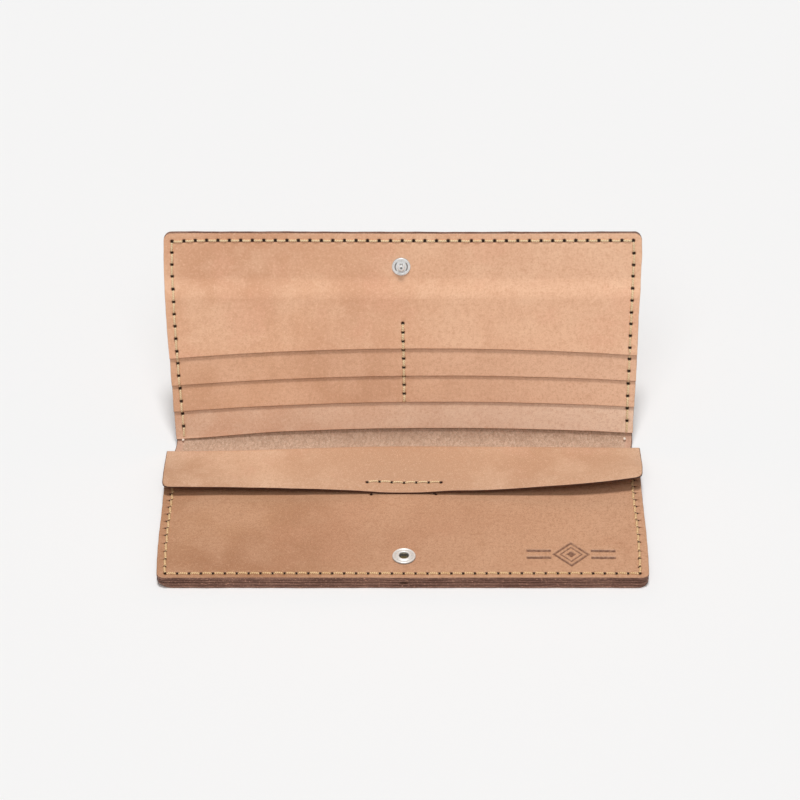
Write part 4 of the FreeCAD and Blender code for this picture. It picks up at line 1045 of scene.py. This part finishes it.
# how much further forward, and so higher, the edge lies than the first estimate
FORWARD = np.interp(FX, [-104, -95, -80, -58, -27, -12, 0, 12, 18, 42, 60, 77, 88, 97, 104],
                    [1.7, 1.7, 1.2, 1.1, 0.4, 0.0, 0.0, 0.2, 0.6, 1.0, 1.5, 1.9, 1.2, 0.2, 0.0])
FY, FT = FY - FORWARD, FT + 0.803 * FORWARD
SKIVE = 0.45                                  # half thickness of the flap at its front edge
FZ = FT - SKIVE
FLAP_HALF = 102.7


def interp(x, xs, ys):
    """Smooth curve through the table."""
    x = np.asarray(x, float)
    out = np.interp(x, xs, ys)
    out = 0.4 * out + 0.3 * (np.interp(x - 3, xs, ys) + np.interp(x + 3, xs, ys))
    return out


def roll_shape(x):
    u = np.clip(-x / FLAP_HALF, -1, 1)
    rho = 3.33 + 0.06 * np.cos(x / 30.0) - 0.72 * smooth(np.clip(u, 0, 1) * 1.1) - 0.1 * np.clip(-u, 0, 1) ** 2
    return rho


ROLL_LEN = math.pi * 3.4
FLAP_LEN = ROLL_LEN + 30.0


def place_flap(x, s, h):
    """x across, s along from the bottom of the roll to the front edge, h above the middle."""
    x, s, h = np.broadcast_arrays(x, s, h)
    rho = roll_shape(x)
    zc = 2.2 + rho
    yc = (ROLL_Y - 0.5 - 0.9 * smooth(np.clip(-x / FLAP_HALF, 0, 1) * 1.1)
          - 0.35 * np.clip(x / FLAP_HALF, 0, 1) ** 2)
    on = s <= ROLL_LEN
    ang = -math.pi / 2 + math.pi * np.clip(s / ROLL_LEN, 0, 1)
    y_r = yc + (rho + h) * np.cos(ang)
    z_r = zc + (rho + h) * np.sin(ang)
    # forward part: a cubic from the top of the roll to the front edge
    t = np.clip((s - ROLL_LEN) / (FLAP_LEN - ROLL_LEN), 0, 1.2)
    fy = interp(x, FX, FY)
    fz = interp(x, FX, FZ)
    p0y, p0z = yc, zc + rho
    mid = np.exp(-(x / 24.0) ** 2)
    p1y, p1z = p0y - 9.5, p0z + 0.1
    p2y = fy + 9.0
    p2z = fz + 0.9 * (1 - mid) + 0.35 * mid
    c = (1 - t)
    y_f = c ** 3 * p0y + 3 * c * c * t * p1y + 3 * c * t * t * p2y + t ** 3 * fy
    z_f = c ** 3 * p0z + 3 * c * c * t * p1z + 3 * c * t * t * p2z + t ** 3 * fz
    ty = 3 * c * c * (p1y - p0y) + 6 * c * t * (p2y - p1y) + 3 * t * t * (fy - p2y)
    tz = 3 * c * c * (p1z - p0z) + 6 * c * t * (p2z - p1z) + 3 * t * t * (fz - p2z)
    ln = np.hypot(ty, tz)
    y_f = y_f + h * tz / ln
    z_f = z_f - h * ty / ln
    q = np.clip((s - ROLL_LEN) / (FLAP_LEN - ROLL_LEN), 0, 1)
    swell = np.where(x > 0, np.interp(q, [0, 0.3, 0.55, 0.8, 1.0], [0.72, 0.85, 0.9, 0.6, 0.35]),
                     np.interp(q, [0, 0.3, 0.6, 1.0], [-0.25, -0.55, -0.65, -0.55]))
    x = x + swell * smooth((np.abs(x) - 55.0) / 45.0)
    return np.stack([x, np.where(on, y_r, y_f), np.where(on, z_r, z_f)], -1)


def flap_s(y):
    """Distance along the flap of the tongue's sewing."""
    return FLAP_LEN - (y - 9.4) * 1.0


t_row = [(x, flap_s(y)) for x, y in tongue_row]
fs = lines(0.0, FLAP_LEN, 1.6, [flap_s(15.7), flap_s(16.4)], fine=(0.0, 0.24, 0.5, 0.8, 1.2))
fs = np.unique(np.concatenate([fs, np.linspace(0, ROLL_LEN, 18)]))
fs = fs[np.concatenate([[True], np.diff(fs) > 0.14])]
fx_lines = lines(-FLAP_HALF, FLAP_HALF, 2.2, [x for x, _ in tongue_row], fine=(0.0, 0.28, 0.56, 0.9, 1.4)) / FLAP_HALF


def flap_half(s):
    return np.where(s < ROLL_LEN, FLAP_HALF - 1.6 + 1.6 * smooth(s / ROLL_LEN), FLAP_HALF)


def flap_thick(x, s):
    """Thinned towards the front edge."""
    return 0.68 - (0.68 - SKIVE) * smooth((s - (FLAP_LEN - 9.0)) / 8.0)


flap = leather("flap_leather", fx_lines, fs, flap_half, (0, 0, 3.0, 3.0), flap_thick,
               lambda x, s: -flap_thick(x, s), place_flap, [FLAP, UNDER, EDGE_FLAP], edge=0.18,
               holes=t_row, wobble=0.04, sides=0.95)
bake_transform(flap)
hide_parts("flap_roll", "pocket_flap")

tongue_sew = sewing("sewing_tongue", [(t_row, const(0.68), place_flap, 1, 0.15, 1.35)], THREAD, 0.42)
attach(tongue_sew, "flap"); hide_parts("thread_tongue")

T_PTS = np.array([[-9.0, 3.58], [-4.0, 3.58], [1.0, 3.58], [6.2, 3.6], [8.4, 3.8], [9.45, 4.35], [9.85, 5.0],
                  [10.15, 5.6], [10.8, 6.1], [12.2, 6.35], [16.0, 6.6], [21.0, 7.0]])
T_LEN = np.concatenate([[0], np.cumsum(np.linalg.norm(np.diff(T_PTS, axis=0), axis=1))])


def place_tongue(x, s, h):
    x, s, h = np.broadcast_arrays(x, s, h)
    y = np.interp(s, T_LEN, T_PTS[:, 0])
    z = np.interp(s, T_LEN, T_PTS[:, 1])
    y2 = np.interp(s + 0.8, T_LEN, T_PTS[:, 0]); y1 = np.interp(s - 0.8, T_LEN, T_PTS[:, 0])
    z2 = np.interp(s + 0.8, T_LEN, T_PTS[:, 1]); z1 = np.interp(s - 0.8, T_LEN, T_PTS[:, 1])
    ln = np.hypot(y2 - y1, z2 - z1)
    ty, tz = (y2 - y1) / ln, (z2 - z1) / ln
    return np.stack([x, y - h * tz, z + h * ty], -1)


def tongue_thick(x, s):
    """Thinned where it passes the slit and where it is sewn under the flap."""
    return 0.5 - 0.24 * smooth((s - 15.0) / 3.5)


tongue = leather("tongue", lines(-13.1, 13.1, 1.2) / 13.1, lines(0, T_LEN[-1], 0.8),
                 lambda s: 13.1 + 0 * s, (5, 5, 2, 2), tongue_thick, lambda x, s: -tongue_thick(x, s), place_tongue,
                 [FLAP, UNDER, EDGE], edge=0.16)
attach(tongue, "flap"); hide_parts("tuck_tongue")

# ------------------------------------------------------------------ snap
def stud_painted_reflections(r, a):
    """Darkening for the cap: painted dark reflections as arcs left and right in the groove round the post, marks above
    and below on the post's steep sides and a ring round the rim, strongest at top and bottom; and a dark spot at the
    centre.
    """
    side = smooth((np.abs(np.cos(a)) - 0.62) / 0.25)
    up, down = smooth((np.sin(a) - 0.80) / 0.15), smooth((-np.sin(a) - 0.45) / 0.3)
    return (0.9 * np.exp(-((r - 2.62) / 0.26) ** 4) * side + 0.7 * np.exp(-((r - 1.45) / 0.28) ** 4) * up
            + 0.6 * np.exp(-((r - 1.6) / 0.22) ** 4) * down + 0.85 * np.exp(-(r / 0.55) ** 4)
            + 0.75 * np.exp(-((r - 4.05) / 0.16) ** 2) * (0.35 + 0.65 * np.abs(np.sin(a))))


# Painted shade on the socket ring: a faint band in its groove, a dark ring at the hole's edge and a painted shadow
# along the outer rim's lower side.
def socket_painted_shade(r, a):
    return (0.22 * np.exp(-((r - 3.7) / 0.35) ** 2) + 0.7 * np.exp(-((r - 1.95) / 0.2) ** 2)
            + 0.6 * np.exp(-((r - 5.0) / 0.1) ** 2) * smooth((-np.sin(a) + 0.3) / 0.8))


seat_z = float(panel_height(np.array([0.0]), np.array([SOCKET_Y]))[0])
profile = bend([(1.95, -1.1), (1.95, 0.55), (2.15, 0.95), (2.75, 1.12), (3.35, 0.72), (3.9, 0.62),
                (4.35, 0.98), (4.8, 0.8), (5.0, 0.35), (4.95, 0.02), (4.6, -0.06), (2.9, -0.06), (2.85, -1.15), (1.95, -1.15)])
sock = lathe("snap_socket_ring", profile, (0.5, SOCKET_Y - 0.25, seat_z), (1, 0, 0), (0, 0, 1), [NICKEL_WORN],
             painted_shade_fn=socket_painted_shade)
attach(sock, "base"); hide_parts("snap_socket")
# The socket's bottom is near-black olive: painted shade for the inside of the hole.
SOCKET_BOTTOM_PAINTED_SHADE = metal_mat("socket_inside_painted_shade", (0.16, 0.12, 0.05, 1.0), 0.5, 0.1, 7.0, 0.3)
pit = lathe("snap_socket_bottom", bend([(0.001, -1.1), (1.0, -1.12), (2.6, -1.1), (5.1, -1.52), (5.15, -1.9), (0.001, -1.92)]),
            (0.5, SOCKET_Y - 0.25, seat_z), (1, 0, 0), (0, 0, 1), [SOCKET_BOTTOM_PAINTED_SHADE])
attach(pit, "base"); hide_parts("snap_socket_cap")
wire_paths = []
for s in (-1, 1):
    xs = np.linspace(-2.6, 2.6, 24)
    pts = np.stack([xs + 0.5, SOCKET_Y - 0.25 + s * (1.78 + 0.10 * (xs / 2.6) ** 2), np.full(24, seat_z + 0.42)], -1)
    wire_paths.append((pts, np.tile([0.0, 0.0, 1.0], (24, 1)), 0.0, 0.0))
v, f, c, k = tube(wire_paths, 0.22, 1.0, 12)
wires = mesh_object("snap_spring", v, f, {"flat": c, "painted_shade_and_reflection": 0.0 * k}, [STEEL])
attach(wires, "base"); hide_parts("snap_socket_spring")

o = place_cover(np.array([-0.6]), np.array([STUD_V - 0.3]), np.array([SEAT]))[0]


zx = np.array([0, -math.sin(OPEN), math.cos(OPEN)])
profile = bend([(4.0, -0.02), (4.05, 0.28), (3.8, 0.55), (3.2, 0.62), (2.75, 0.4), (2.2, 0.4), (1.55, 0.52), (1.2, 0.9),
                (1.32, 1.25), (1.6, 1.5), (1.62, 2.0), (1.35, 2.5), (0.8, 2.72), (0.35, 2.62), (0.001, 2.6)])
stud = lathe("snap_stud_cap", profile, o, (1, 0, 0), zx, [NICKEL],
             painted_shade_fn=stud_painted_reflections)
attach(stud, "cover"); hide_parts("snap_stud")
eye = lathe("snap_stud_rivet", bend([(0.001, -1.42), (3.95, -1.42), (3.95, -1.05), (1.0, -0.98), (1.0, 0.1), (0.001, 0.1)]),
            o, (1, 0, 0), zx, [NICKEL])
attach(eye, "cover"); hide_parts("snap_stud_eyelet")

# ------------------------------------------------------------------ stage, light, camera
bpy.ops.mesh.primitive_plane_add(size=6.0, location=(0, 0.8, -0.0002))
floor = bpy.context.object
floor.name = "floor"
fm = Nodes("floor_white")
fm.bsdf.inputs["Base Color"].default_value = (0.9, 0.9, 0.9, 1)
fm.bsdf.inputs["Roughness"].default_value = 0.9
fm.bsdf.inputs["Specular IOR Level"].default_value = 0.1
floor.data.materials.append(fm.mat)

world = bpy.data.worlds.new("studio")
bpy.context.scene.world = world
world.use_nodes = True
world.node_tree.nodes["Background"].inputs[0].default_value = (1.0, 1.0, 1.0, 1)
world.node_tree.nodes["Background"].inputs[1].default_value = 0.16


def sun(name, direction, strength, spread, color=(1, 1, 1)):
    """A broad, even light from far away; direction points from the object to the light."""
    l = bpy.data.lights.new(name, "SUN")
    l.energy = strength
    l.angle = math.radians(spread)
    l.color = color
    ob = bpy.data.objects.new(name, l)
    bpy.context.scene.collection.objects.link(ob)
    ob.location = Vector(direction)
    ob.rotation_euler = (-Vector(direction)).to_track_quat("-Z", "Y").to_euler()
    return ob


sun("top_light", (0.0, -0.08, 0.99), 2.05, 12.0, (1.0, 0.995, 0.99))
sun("front_light", (-0.04, -0.62, 0.77), 0.84, 36.0)

cam = bpy.data.cameras.new("camera")
cam_ob = bpy.data.objects.new("camera", cam)
bpy.context.scene.collection.objects.link(cam_ob)
bpy.context.scene.camera = cam_ob
pitch = math.radians(37.97)
dist = 1.565
target = Vector((-0.00116, 0.0575, 0.020))
look = Vector((0, math.cos(pitch), -math.sin(pitch)))
cam_ob.location = target - look * dist
cam_ob.rotation_euler = (math.pi / 2 - pitch, 0, 0)
cam.sensor_width = 36.0
cam.lens = 3570.0 * 36.0 / 800.0
cam.clip_end = 20.0
bpy.context.scene.view_settings.view_transform = "Standard"
